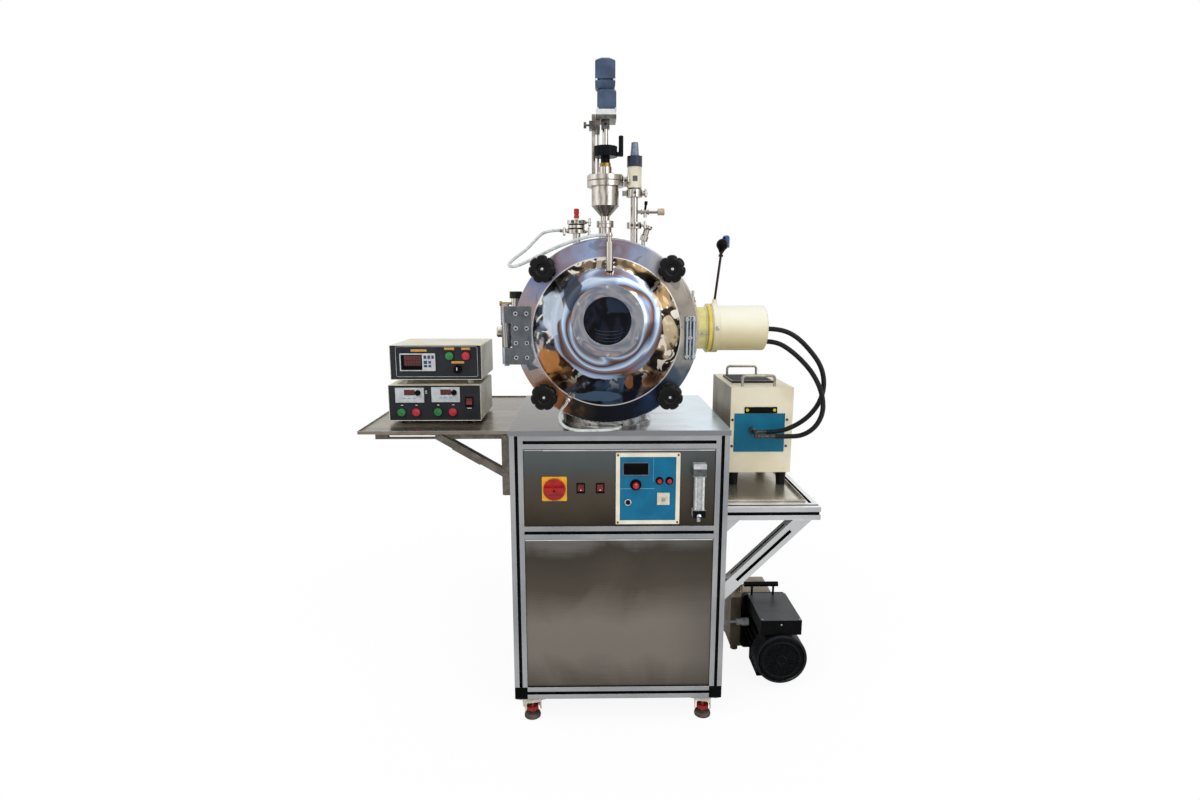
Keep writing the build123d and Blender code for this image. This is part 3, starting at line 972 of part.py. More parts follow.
# ================= fittings on top of the chamber =================
def make_top_fittings():
    rx = PORT_TOPS["right"][0]
    lx = PORT_TOPS["left"][0]
    gauge = turned([
        (0, -7), (10.8, -7), (10.8, 82), (22, 82), (22, 100), (11, 100), (11, 173), (24, 173), (24, 194),
        (18, 198), (21, 198), (21, 259), (0, 259)])
    gauge += block((-36, 34), (-7, 7), (177, 191)) + block((-31, -18), (-5, 5), (203, 231))
    cap = turned([(0, 259), (22.5, 259), (22.5, 289), (13, 289), (10, 328), (0, 328)])
    gauge += rod((8, 0, 131), "x", 5, 62)
    gauge -= rod((50, 0, 131), "x", 3 + RUNNING, 30)
    valve = turned([(0, 0), (12, 0), (12, 14), (9, 18), (9, 34), (14, 38), (14, 46), (0, 46)])
    valve = Pos(28, 0, 47) * Rot(0, 18, 0) * valve + rod((28, 0, -29), "z", 6, 84)
    left = turned([
        (0, -7), (11.8, -7), (11.8, 68), (28, 68), (28, 78), (20, 82), (20, 91), (28, 95), (28, 106),
        (6, 106), (6, 112), (0, 112)])
    left += rod((-50, 0, 77), "x", 6, 30)
    left -= rod((0, 0, 85), "z", 3 + RUNNING, 40)
    at_right, at_left = AT_COLUMN * Pos(rx, 0, 0), AT_COLUMN * Pos(lx, 0, 0)
    save("top_fittings", at_right * gauge, at_right * cap, at_right * valve, at_left * left)
    red = turned([
        (0, -18), (3, -18), (3, PLUG_GAP), (8, PLUG_GAP), (8, 8), (6, 10), (8, 13), (8, 26), (6, 28), (0, 28)])
    save("left_valve_handle", at_left * Pos(0, 0, 112) * red)
    tan_knob = turned([(0, -14), (3, -14), (3, PLUG_GAP), (10, PLUG_GAP), (10, 20), (0, 20)], (70, 0, 131), "x")
    save("right_valve_knob", at_right * tan_knob)


# ================= right-hand shelf =================
SHELF_SEAT, GUSSET_T, BRACE_END = 4.0, 6.0, 48.0         # how far the plate rests on the profiles
SHELF_RIGHT = HALF_W + SHELF_W
SHELF_INSET = PROFILE - SHELF_SEAT


def make_shelf():
    under = SHELF_TOP - PROFILE
    mid_z = under + P2
    solids = [profile((HALF_W, y, mid_z), "x", SHELF_W) for y in POST_Y]
    solids.append(profile((SHELF_RIGHT - P2, PROFILE, mid_z), "y", CAB_D - 2 * PROFILE))
    for y in POST_Y:
        solids += shelf_brace(y, under)
    x, y = (HALF_W + 1, SHELF_RIGHT - SHELF_INSET), (SHELF_INSET, CAB_D - SHELF_INSET)
    plate = block(x, y, (SHELF_TOP, SHELF_TOP + SHELF_LIP))
    plate -= block((x[0] + SHEET, x[1] - SHEET), (y[0] + SHEET, y[1] - SHEET), (SHELF_TOP + SHEET, TABLE_TOP))
    save("side_shelf", *solids, plate)


def shelf_brace(y, under):
    """A slotted brace at 45 degrees between two plain end pieces, and the gusset in the shelf's corner."""
    length = (under - BRACE_FOOT_Z) * sqrt(2)
    turn = Pos(HALF_W, y, BRACE_FOOT_Z) * Rot(0, 45, 0)
    bar = turn * Pos(0, 0, BRACE_END) * extrude(SECTION, length - 2 * BRACE_END)
    foot = turn * Pos(0, 0, -PROFILE) * Box(PROFILE, PROFILE, PROFILE + BRACE_END, align=UP)
    head = turn * Pos(0, 0, length - BRACE_END) * Box(PROFILE, PROFILE, PROFILE + BRACE_END, align=UP)
    foot -= block((HALF_W - 100, HALF_W), (y - P2 - 1, y + P2 + 1), (BRACE_FOOT_Z - 100, BRACE_FOOT_Z + 100))
    head -= block((HALF_W, SHELF_RIGHT + 100), (y - P2 - 1, y + P2 + 1), (under, under + 100))
    corner = make_face(Plane.XZ * Polyline((0, 0), (GUSSET, 0), (0, -GUSSET), close=True))
    gusset = Pos(HALF_W, y, under) * extrude(corner, GUSSET_T / 2, both=True)
    return [bar, foot, head, gusset]


# ================= induction generator =================
GEN_LEFT, GEN_LOW = HALF_W + 42.0, SHELF_TOP + 50.0
GEN_X, GEN_Y, GEN_Z = (GEN_LEFT, GEN_LEFT + 202.0), (205.0, 525.0), (GEN_LOW, GEN_LOW + 282.0)
GEN_SHEET, GEN_FOOT_R, GEN_FOOT_INSET = 2.0, 17.0, 22.0
BLUE_X, BLUE_Z = (GEN_LEFT + 13.0, GEN_LEFT + 177.0), (GEN_LOW + 70.0, GEN_LOW + 197.0)
DISPLAY_X, DISPLAY_Z = (GEN_LEFT + 45.0, GEN_LEFT + 150.0), (GEN_LOW + 198.0, GEN_LOW + 218.0)
GEN_GLAND = (GEN_LEFT + 71.0, GEN_LOW + 142.0)
GEN_HANDLES = (232.0, 482.0)
GEN_HANDLE_X, GEN_HANDLE_H, GEN_HANDLE_R = (GEN_LEFT + 41.0, GEN_LEFT + 146.0), 34.0, 4.5
VENT_X, VENT_Y, VENT_T = (GEN_LEFT + 21.0, GEN_LEFT + 161.0), (300.0, 456.0), 6.0
GEN_SCREWS = [(GEN_LEFT + x, GEN_LOW + z) for x in (7.0, 184.0) for z in (89.0, 176.0)]
CABLE_A_END = (GEN_GLAND[0] + 36.0, 166.0, GEN_GLAND[1] + 2.0)
CABLE_B_END = (GEN_GLAND[0] + 60.0, 146.0, GEN_GLAND[1] - 8.0)


def make_generator():
    shell = block(GEN_X, GEN_Y, GEN_Z)
    shell = fillet(shell.edges().filter_by(Axis.Y), 2.0)
    inside = [(a + GEN_SHEET, b - GEN_SHEET) for a, b in (GEN_X, GEN_Y, GEN_Z)]
    shell -= block(*inside)
    front = GEN_Y[0]
    gx, gz = GEN_GLAND
    panel = block(BLUE_X, (front - 2, front), BLUE_Z)
    display = block(DISPLAY_X, (front - 3, front), DISPLAY_Z)
    floor_z = SHELF_TOP + SHEET
    feet = []
    for x in (GEN_X[0] + GEN_FOOT_INSET, GEN_X[1] - GEN_FOOT_INSET):
        for y in (GEN_Y[0] + 30, GEN_Y[1] - 30):
            foot = [(0, floor_z), (GEN_FOOT_R - 3, floor_z), (GEN_FOOT_R, GEN_Z[0]), (0, GEN_Z[0])]
            feet.append(turned(foot, (x, y, 0)))
    gland = turned([(0, 0), (6, 0), (6, 8), (11, 10), (11, 22), (0, 22)], (gx, front - 24, gz), "y")
    gland += rod((gx, front - 20, gz), "-y", 6, CABLE_A_END[1] * -1 + front - 20)
    gland += rod((gx, CABLE_A_END[1], CABLE_A_END[2]), "x", 6, CABLE_A_END[0] - gx)
    gland += rod((gx, CABLE_A_END[1] + 4, gz), "-y", 6, CABLE_A_END[1] + 4 - CABLE_B_END[1])
    gland += rod((gx, CABLE_B_END[1], CABLE_B_END[2]), "x", 6, CABLE_B_END[0] - gx)
    gland += block(span(gx, 5), span(CABLE_B_END[1], 5), (CABLE_B_END[2] - 5, gz + 5))
    handles = []
    for y in GEN_HANDLES:
        low, high = GEN_Z[1], GEN_Z[1] + GEN_HANDLE_H
        x0, x1 = GEN_HANDLE_X
        path = FilletPolyline((x0, y, low), (x0, y, high), (x1, y, high), (x1, y, low), radius=10)
        handles.append(sweep(Plane((x0, y, low)) * Circle(GEN_HANDLE_R), path=path))
    vent = block(VENT_X, VENT_Y, (GEN_Z[1], GEN_Z[1] + VENT_T))
    screws = [rod((x, front - 2, z), "y", 4, 2) for x, z in GEN_SCREWS]
    save("generator", shell, panel, display, *feet, gland, *handles, vent, *screws)


# ================= vacuum pump =================
PUMP_X, PUMP_Z = HALF_W + 239.0, 113.0
FAN_COVER_Y, FAN_COVER_R, FAN_COVER_T = (175.0, 240.0), 89.0, 2.0
MOTOR_Y, MOTOR_R, FIN_H, FINS = (241.0, 400.0), 72.0, 9.0, 20
VENT_RINGS = ((18.0, 8), (27.0, 13), (36.0, 18), (45.0, 23), (54.0, 28))
VENT_R = 2.7
TERMINAL = ((PUMP_X - 73.0, PUMP_X + 67.0), (186.0, 391.0), (199.0, 252.0))
PUMP_FLANGE = ((PUMP_X - 86.0, PUMP_X + 76.0), (400.0, 424.0), (30.0, 240.0))
PUMP_CASE = ((PUMP_X - 124.0, PUMP_X + 40.0), (424.0, 600.0), (22.0, 220.0))
PUMP_HANDLE_Y, PUMP_HANDLE_Z, PUMP_HANDLE_X = 380.0, 293.0, (PUMP_X - 89.0, PUMP_X + 35.0)
PLUG = (PUMP_X - 114.0, 372.0, 149.0)
FAN_SHAFT_R = 7.0


def make_pump():
    y0, y1 = MOTOR_Y
    motor = rod((0, y0, 0), "y", MOTOR_R, y1 - y0)
    fin = Pos(MOTOR_R + FIN_H / 2 - 0.5, (y0 + y1) / 2, 0) * Box(FIN_H + 1, y1 - y0 - 20, 3)
    for i in range(FINS):
        motor += Rot(0, 360 / FINS * i, 0) * fin
    motor += rod((0, y0, 0), "y", MOTOR_R + FIN_H, 8)
    motor -= rod((0, y0 - 1, 0), "y", FAN_SHAFT_R + RUNNING, 30)
    motor = Pos(PUMP_X, 0, PUMP_Z) * motor
    foot = block(span(PUMP_X, 60), (y0 + 20, y1 - 20), (0, PUMP_Z - MOTOR_R + 6))
    box = block(*TERMINAL)
    drum = rod((PUMP_X, FAN_COVER_Y[0] - 1, PUMP_Z), "y", FAN_COVER_R + 0.2, FAN_COVER_Y[1] - FAN_COVER_Y[0] + 1)
    box -= drum
    stem = block(span(PUMP_X, 40), (y0 + 30, y1 - 40), (PUMP_Z + MOTOR_R - 8, TERMINAL[2][0]))
    motor += foot + stem + box
    px, py, pz = PLUG
    plug = rod((px, py, pz), "x", 11, 20) + rod((px + 20, py, pz), "x", 14, 24)
    plug -= motor
    flange = fillet(block(*PUMP_FLANGE).edges().filter_by(Axis.Y), 12.0)
    case = fillet(block(*PUMP_CASE).edges().filter_by(Axis.Y), 8.0)
    for x in (PUMP_CASE[0][0] + 22, PUMP_CASE[0][1] - 22):
        for y in (PUMP_CASE[1][0] + 25, PUMP_CASE[1][1] - 25):
            case += rod((x, y, 0), "z", 14, PUMP_CASE[2][0] + 1)
    inlet = pipe((PUMP_CASE[0][0] + 40, PUMP_CASE[1][0] + 60, PUMP_CASE[2][1]), "z", 15, 11, 30)
    inlet += pipe((PUMP_CASE[0][0] + 40, PUMP_CASE[1][0] + 60, PUMP_CASE[2][1] + 26), "z", 20, 11, 5)
    grip = rod((PUMP_HANDLE_X[0], PUMP_HANDLE_Y, PUMP_HANDLE_Z), "x", 9, PUMP_HANDLE_X[1] - PUMP_HANDLE_X[0])
    for x in (PUMP_HANDLE_X[0] + 30, PUMP_HANDLE_X[1] - 16):
        grip += rod((x, PUMP_HANDLE_Y, TERMINAL[2][1]), "z", 4, PUMP_HANDLE_Z - TERMINAL[2][1])
    save("pump_body", motor, plug, flange, case, inlet, grip, fan_cover())
    save("pump_fan", Pos(PUMP_X, 0, PUMP_Z) * fan())


def fan_cover():
    y0, y1 = FAN_COVER_Y
    cover = rod((0, y0, 0), "y", FAN_COVER_R, y1 - y0)
    rim = cover.edges().filter_by(GeomType.CIRCLE).group_by(Axis.Y)[0]
    cover = chamfer(rim, 14.0)
    hollow = rod((0, y0 + FAN_COVER_T, 0), "y", FAN_COVER_R - FAN_COVER_T, y1 - y0)
    rim = hollow.edges().filter_by(GeomType.CIRCLE).group_by(Axis.Y)[0]
    cover -= chamfer(rim, 14.0)
    for radius, count in VENT_RINGS:
        for i in range(count):
            cover -= Rot(0, 360 / count * i, 0) * rod((radius, y0 - 1, 0), "y", VENT_R, FAN_COVER_T + 2)
    cover = Pos(PUMP_X, 0, PUMP_Z) * cover
    return cover


def fan():
    hub = rod((0, FAN_COVER_Y[0] + 20, 0), "y", 15, 30) + rod((0, FAN_COVER_Y[0] + 40, 0), "y", FAN_SHAFT_R, 50)
    blade = Pos(40, FAN_COVER_Y[0] + 35, 0) * Box(56, 26, 2.5)
    for i in range(6):
        hub += Rot(0, 60 * i, 0) * blade
    return hub


# ================= cords =================
CORDS = {
    "power_cable_a": (CABLE_R, (
        (456, 155, 1241), (498, 155, 1241), (548, 150, 1221), (592, 142, 1178), (629, 134, 1127), (641, 130, 1069),
        (629, 132, 1012), (600, 142, 966), (560, 156, 932), (514, 166, 912), (474, 166, 912))),
    "power_cable_b": (CABLE_R, (
        (456, 155, 1202), (492, 155, 1202), (540, 140, 1171), (585, 122, 1125), (612, 110, 1081), (628, 104, 1035),
        (632, 104, 986), (614, 112, 938), (578, 130, 907), (534, 146, 902), (498, 146, 902))),
    "door_hose_top": (4.5, (
        (-42.5, -55, 1509), (-72, -55, 1509), (-113, -45, 1500), (-169, -30, 1482), (-225, -15, 1458),
        (-272, -2, 1436), (-303, 8, 1423), (-296, 30, 1440), (-272, 66, 1472), (-248, 112, 1504),
        (-220, 155, 1536), (-176, 155, 1536))),
    "door_hose_bottom": (4.5, (
        (-161.8, -50, 1036.4), (-177.96, -50, 1013.45), (-168, -48, 982), (-134, -40, 965), (-90, -30, 963),
        (-48, -24, 964), (-16, -12, 968), (-22, 6, 973), (-54, 12, 975), (-90, 18, 985), (-116.4, 24.6, 1009),
        (-133.2, 28.2, 1031))),
    "pump_cord": (4.0, (
        (450, 372, 149), (422, 372, 149), (398, 352, 150), (376, 322, 152), (352, 300, 153), (318, 300, 153))),
}


def cord(radius, points):
    """A round cord whose route is straight runs joined by tangent arcs."""
    route = [Vector(*p) for p in points]
    bends = []
    for a, b, c in zip(route, route[1:], route[2:]):
        half_turn = radians((b - a).get_angle(c - b) / 2)
        bends.append(0.45 * min((b - a).length, (c - b).length) / tan(half_turn))
    path = FilletPolyline(*route, radius=bends)
    return sweep(Plane(route[0], z_dir=route[1] - route[0]) * Circle(radius), path=path)


def make_cords():
    for name, (radius, points) in CORDS.items():
        save(name, cord(radius, points))


make_frame()
make_table()
make_panels()
make_casters()
make_tray()
make_controls()
make_boxes()
make_chamber()
make_side_ports()
save("push_rod", feed_rod())
make_tilt_unit()
make_door()
make_column()
make_top_fittings()
make_shelf()
make_generator()
make_pump()
make_cords()
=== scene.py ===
from math import cos, pi, radians, sin, tau

import bmesh
import bpy
import numpy as np
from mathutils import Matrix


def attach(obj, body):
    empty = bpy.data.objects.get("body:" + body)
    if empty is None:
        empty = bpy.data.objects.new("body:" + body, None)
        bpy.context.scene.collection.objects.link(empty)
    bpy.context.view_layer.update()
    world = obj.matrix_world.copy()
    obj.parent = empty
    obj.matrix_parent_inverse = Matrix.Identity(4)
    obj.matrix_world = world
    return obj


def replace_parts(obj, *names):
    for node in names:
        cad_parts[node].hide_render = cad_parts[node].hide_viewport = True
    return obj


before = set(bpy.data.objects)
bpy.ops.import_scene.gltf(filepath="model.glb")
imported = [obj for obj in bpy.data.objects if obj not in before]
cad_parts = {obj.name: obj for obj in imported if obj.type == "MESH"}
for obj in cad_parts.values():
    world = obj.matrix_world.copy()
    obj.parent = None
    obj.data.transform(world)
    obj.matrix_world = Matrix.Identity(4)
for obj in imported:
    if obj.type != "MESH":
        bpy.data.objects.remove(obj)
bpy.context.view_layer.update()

scene = bpy.context.scene

# ---------------------------------------------------------------- camera
# A plain studio camera at chest height, straight in front of the furnace and
# tipped down a little. It has no lens shift and everything is in focus.


def shown(name, data):
    """A new object of this data, in the scene."""
    made = bpy.data.objects.new(name, data)
    scene.collection.objects.link(made)
    return made


eye = shown("camera", bpy.data.cameras.new("camera"))
eye.data.sensor_width, eye.data.lens = 36, 20.211
eye.location = (-0.03033, -2.179065, 1.38765)
eye.rotation_euler = (radians(90 - 10.048), 0, radians(-0.842))
scene.camera = eye

# ---------------------------------------------------------------- cords
# Two ribbed black power cables run from the heater's side cover round to the
# generator's glands. Two white plastic hoses carry the door's cooling water,
# and one grey lead runs from the vacuum pump's plug into the cabinet.
CABINET = np.array((0.056, -0.254125, 0.0))


def place(points):
    """Cabinet millimetres as metres in the shared frame: over 1000, plus the cabinet's place."""
    return np.asarray(points, float) / 1000 + CABINET


def colour(code):
    """A code such as d0d4d8 as linear red, green, blue, alpha: each part over 255, to the 2.2."""
    return (*((int(code[k:k + 2], 16) / 255) ** 2.2 for k in (0, 2, 4)), 1.0)


def reckon(operation, swapped=False):
    """An operator that adds one Math node, its sides swapped for a reflected form."""
    def work(value, other):
        sides = (other, value) if swapped else (value, other)
        return value.graph.node("Math", {"operation": operation}, dict(enumerate(sides)))
    return work


class Value:
    """A socket that can be reckoned with: each operator adds the Math node that works it out."""
    __add__ = __radd__ = reckon("ADD")
    __sub__, __rsub__ = reckon("SUBTRACT"), reckon("SUBTRACT", swapped=True)
    __mul__ = __rmul__ = reckon("MULTIPLY")
    __truediv__, __pow__ = reckon("DIVIDE"), reckon("POWER")

    def __init__(self, graph, socket):
        self.graph, self.socket = graph, socket


class Graph:
    """A node tree that is written as expressions."""

    def __init__(self, tree):
        self.tree = tree
        tree.nodes.clear()

    def node(self, kind, settings=(), inputs=(), output=0):
        """Adds one node: its settings first, then values or links of its sockets. Gives one of
        its outputs. A ramp's stops are written as places and colour codes in turn."""
        made = self.tree.nodes.new("ShaderNode" + kind)
        for name, value in dict(settings).items():
            if name == "stops":
                words, stops = value.split(), made.color_ramp.elements
                while len(stops) < len(words) // 2:
                    stops.new(1.0)
                for stop, where, code in zip(stops, words[::2], words[1::2]):
                    stop.position, stop.color = float(where), colour(code)
            else:
                setattr(made, name, value)
        self.feed(made, inputs)
        return Value(self, made.outputs[output])

    def end(self, kind, surface):
        """Sends a shader to the tree's output, of kind Material or World."""
        self.feed(self.tree.nodes.new("ShaderNodeOutput" + kind), {"Surface": surface})

    def feed(self, made, inputs):
        """Sets or links each named or numbered socket of a node."""
        for name, value in dict(inputs).items():
            if isinstance(value, Value):
                self.tree.links.new(value.socket, made.inputs[name])
            else:
                made.inputs[name].default_value = value


class Finish(Graph):
    """A material of one Principled shader, with patterns in metres in the shared frame."""

    def __init__(self, name, metal=0.0, coat=0.0, shine=0.5, alpha=1.0):
        self.material = bpy.data.materials.new(name)
        self.material.use_nodes = True
        super().__init__(self.material.node_tree)
        self.shader = self.tree.nodes.new("ShaderNodeBsdfPrincipled")
        self.end("Material", Value(self, self.shader.outputs[0]))
        self.set(Metallic=metal, Coat_Weight=coat, Specular_IOR_Level=shine, Alpha=alpha)

    def set(self, **inputs):
        """Feeds the shader's sockets; an underscore in a name stands for a space."""
        self.feed(self.shader, {name.replace("_", " "): value for name, value in inputs.items()})

    def spot(self, stretch=(1, 1, 1), about=(0, 0, 0)):
        """Where the surface is, from a point in cabinet millimetres, over the stretch."""
        squeeze = tuple(1 / s for s in stretch)
        return self.node("Mapping", {}, {"Vector": self.node("TexCoord", output=3),
                                         "Scale": squeeze,
                                         "Location": tuple(-place(about) * squeeze)})

    def part(self, axis, about=(0, 0, 0)):
        """One coordinate of the surface, 0, 1 or 2 for x, y or z, from a point."""
        return self.node("SeparateXYZ", {}, {0: self.spot(about=about)}, axis)

    def looks(self, axis):
        """How far the surface looks along an axis, from -1 to 1."""
        return self.node("SeparateXYZ", {}, {0: self.node("TexCoord", output=1)}, axis)

    def noise(self, size, detail=3.0, stretch=(1, 1, 1), twist=0.0):
        """Cloudy noise from 0 to 1 whose clouds are this many metres across, times the stretch."""
        return self.node("TexNoise", {}, {"Vector": self.spot(stretch), "Scale": 1 / size,
                                          "Detail": detail, "Distortion": twist})

    def band(self, value, low, high):
        """0 below low, 1 above high, and a smooth rise between."""
        return self.node("MapRange", {"interpolation_type": "SMOOTHSTEP"},
                         {"Value": value, "From Min": low, "From Max": high})

    def blend(self, share, first, second):
        """The first colour where the share is 0, the second where it is 1."""
        first, second = (colour(c) if isinstance(c, str) else c for c in (first, second))
        return self.node("Mix", {"data_type": "RGBA"}, {0: share, 6: first, 7: second}, 2)

    def ramp(self, value, stops):
        """A value as a colour, through the stops."""
        return self.node("ValToRGB", {"stops": stops}, {0: value})

    def rounded(self, radius):
        """The normal of the surface as if its edges were rounded to this radius in metres."""
        return self.node("Bevel", {"samples": 4}, {"Radius": radius})

    def relief(self, height, depth, over):
        """The normal of the surface raised by the height, 0 to 1, times a depth in metres."""
        return self.node("Bump", {}, {"Height": height, "Distance": depth, "Normal": over})

    def edges(self, normal):
        """1 on rounded edges and 0 on flats, from how far the rounded normal leans."""
        true = self.node("NewGeometry", output=3)
        lean = self.node("VectorMath", {"operation": "DOT_PRODUCT"}, {0: normal, 1: true}, 1)
        return self.band(1 - lean, 0.02, 0.2)

    def close(self, tone, clouds, vary, rough, depth, radius, edge=None, share=1.0):
        """Ends a finish: its tone, lighter at the edges where an edge tone is given, partly as wear
        and partly as a painted highlight, and its clouds in the gloss and the relief."""
        normal = self.rounded(radius)
        # Edges lighter towards the edge tone: partly wear, partly a painted highlight.
        if edge:
            tone = self.blend(self.edges(normal) * share, tone, edge)
        self.set(Base_Color=tone, Roughness=clouds * vary + rough,
                 Normal=self.relief(clouds, depth, normal))
        return self


def coated(name, tones, cloud, rough, vary=0.12, grain=0.0008, depth=0.00001, radius=0.0006,
           **constants):
    """Any even finish: two tones in soft clouds, grain in the gloss and the relief, and rounded
    edges, lighter in patches towards the third tone where there is one: partly wear and partly
    a painted highlight."""
    finish = Finish(name, **constants)
    tone, shade, *edge = tones.split()
    clouds = finish.band(finish.noise(cloud, 4.0), 0.35, 0.65)
    fine = finish.noise(grain, 2.0)
    surface = finish.blend(clouds, tone, shade)
    normal = finish.rounded(radius)
    if edge:
        # Rounded edges lighter in patches: partly wear, partly a painted highlight.
        wear_and_highlight = finish.edges(normal) * finish.band(finish.noise(0.012, 3.0), 0.35, 0.62)
        surface = finish.blend(wear_and_highlight * 0.8, surface, *edge)
    finish.set(Base_Color=surface,
               Roughness=fine * vary + clouds * (vary / 2) + (rough - vary * 0.6),
               Normal=finish.relief(fine, depth, normal))
    return finish


rubber = coated("cable rubber", "101112 1c1c1e", 0.03, 0.5, depth=0.00004, shine=0.25)
hose_white = coated("clear white hose", "e4e9e7 bfc8c4", 0.012, 0.22, depth=0.000005, coat=0.3,
                    alpha=0.78)
lead_grey = coated("grey lead", "a9adb0 8f9497", 0.03, 0.45)


def route(name, points, radius):
    """A smooth line of order 3 through its end points, drawn towards the points between them."""
    line = bpy.data.curves.new(name, "CURVE")
    line.dimensions = "3D"
    spline = line.splines.new("NURBS")
    spline.points.add(len(points) - 1)
    spline.points.foreach_set("co", np.insert(place(points), 3, 1, axis=1).ravel())
    spline.order_u = 3
    spline.use_endpoint_u = True
    spline.resolution_u = 10
    line.bevel_depth = radius / 1000
    line.bevel_resolution = 5
    line.use_fill_caps = True
    return shown(name, line)


def skin(grid, wrap_rows=False, wrap_columns=True):
    """A grid of points as corners and four-cornered faces, joined end to start where it wraps."""
    number = np.arange(grid[..., 0].size).reshape(grid.shape[:2])
    if wrap_rows:
        number = np.vstack((number, number[:1]))
    if wrap_columns:
        number = np.hstack((number, number[:, :1]))
    faces = np.stack((number[:-1, :-1], number[:-1, 1:], number[1:, 1:], number[1:, :-1]), -1)
    return grid.reshape(-1, 3), faces.reshape(-1, 4)


def piece(name, body, slot, *parts, flat=35):
    """One object that rides on a body, from parts of (finish, shapes of corners and faces), its
    faces turned outwards, and smooth but for edges sharper than the angle."""
    touching = 1e-7
    finishes = list(dict.fromkeys(finish for finish, *_ in parts))
    corners, faces, kinds = [], [], []
    for finish, *shapes in parts:
        for points, sides in shapes:
            faces += (sides + len(corners)).tolist()
            corners += place(points).tolist()
            kinds += [finishes.index(finish)] * len(sides)
    mesh = bpy.data.meshes.new(name)
    mesh.from_pydata(corners, [], faces)
    for finish in finishes:
        mesh.materials.append(finish.material)
    mesh.polygons.foreach_set("material_index", kinds)
    shell = bmesh.new()
    shell.from_mesh(mesh)
    bmesh.ops.remove_doubles(shell, verts=shell.verts, dist=touching)
    bmesh.ops.dissolve_degenerate(shell, edges=shell.edges, dist=touching)
    bmesh.ops.recalc_face_normals(shell, faces=shell.faces)
    shell.to_mesh(mesh)
    shell.free()
    mesh.polygons.foreach_set("use_smooth", [True] * len(mesh.polygons))
    mesh.set_sharp_from_angle(angle=radians(flat))
    made = shown(name, mesh)
    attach(made, body)
    return made


RIB_PITCH, RIB_DEPTH = 5.0, 0.9


def ribbed_tube(points, radius):
    """A tube round the smooth line whose radius dips by RIB_DEPTH times a cosine squared once
    every RIB_PITCH. The line is read from the route with no thickness, and the ring's first axis
    is square to it and to the depth axis, the other to both."""
    bare = route("bare", points, 0)
    mesh = bpy.data.meshes.new_from_object(bare)
    line = np.empty(len(mesh.vertices) * 3)
    mesh.vertices.foreach_get("co", line)
    bpy.data.objects.remove(bare)
    line = (line.reshape(-1, 3) - CABINET) * 1000
    run = np.insert(np.cumsum(np.linalg.norm(np.diff(line, axis=0), axis=1)), 0, 0)
    at = np.linspace(0, run[-1], int(run[-1] / RIB_PITCH) * 4 + 1)
    middle = np.stack([np.interp(at, run, line[:, k]) for k in range(3)], -1)
    ahead = np.gradient(middle, axis=0)
    ahead /= np.linalg.norm(ahead, axis=1, keepdims=True)
    across = np.cross(ahead, (0, 1, 0))
    across /= np.linalg.norm(across, axis=1, keepdims=True)
    lift = np.cross(across, ahead)
    wide = radius - RIB_DEPTH * np.cos(pi * at / RIB_PITCH) ** 2
    turn = np.linspace(0, tau, 16, endpoint=False)[None, :, None]
    ring = across[:, None] * np.cos(turn) + lift[:, None] * np.sin(turn)
    ends = np.repeat(middle[[0, -1], None], 16, axis=1)
    grid = np.vstack((ends[:1], middle[:, None] + wide[:, None, None] * ring, ends[1:]))
    return skin(grid), line


# Each cord: its radius and its length in millimetres, its finish and its points.
CORDS = {
    "power_cable_a": (8, 534, rubber, (
        (456, 155, 1241), (498, 155, 1241), (548, 150, 1221), (592, 142, 1178), (629, 134, 1127),
        (641, 130, 1069), (629, 132, 1012), (600, 142, 966), (560, 156, 932), (514, 166, 912),
        (474, 166, 912))),
    "power_cable_b": (8, 492, rubber, (
        (456, 155, 1202), (492, 155, 1202), (540, 140, 1171), (585, 122, 1125), (612, 110, 1081),
        (628, 104, 1035), (632, 104, 986), (614, 112, 938), (578, 130, 907), (534, 146, 902),
        (498, 146, 902))),
    "door_hose_top": (4.5, 538, hose_white, (
        (-42.5, -55, 1509), (-72, -55, 1509), (-113, -45, 1500), (-169, -30, 1482),
        (-225, -17, 1457), (-268, -8, 1436), (-304, 2, 1424), (-320, 26, 1432),
        (-298, 50, 1454), (-272, 76, 1474), (-248, 114, 1504), (-220, 155, 1536),
        (-176, 155, 1536))),
    "door_hose_bottom": (4.5, 403, hose_white, (
        (-161.8, -50, 1036.4), (-177.96, -50, 1013.45), (-168, -48, 982), (-134, -40, 965),
        (-90, -31, 963), (-44, -29, 963.5), (-10, -23, 966), (4, -7, 969.5), (-8, 9, 973),
        (-50, 13, 975), (-90, 18, 985), (-116.4, 24.6, 1009), (-133.2, 28.2, 1031))),
    "pump_cord": (4, 159, lead_grey, (
        (450, 372, 149), (422, 372, 149), (398, 352, 150), (376, 322, 152), (352, 300, 153),
        (318, 300, 153))),
}
for name, (radius, length, finish, points) in CORDS.items():
    ribbed = finish is rubber
    if ribbed:
        tube, line = ribbed_tube(points, radius)
        cord = piece("ribbed_" + name, "cabinet", name, (finish, tube))
    else:
        cord = route("soft_" + name, points, radius)
        cord.data.materials.append(finish.material)
        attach(cord, "cabinet")
    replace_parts(cord, name)
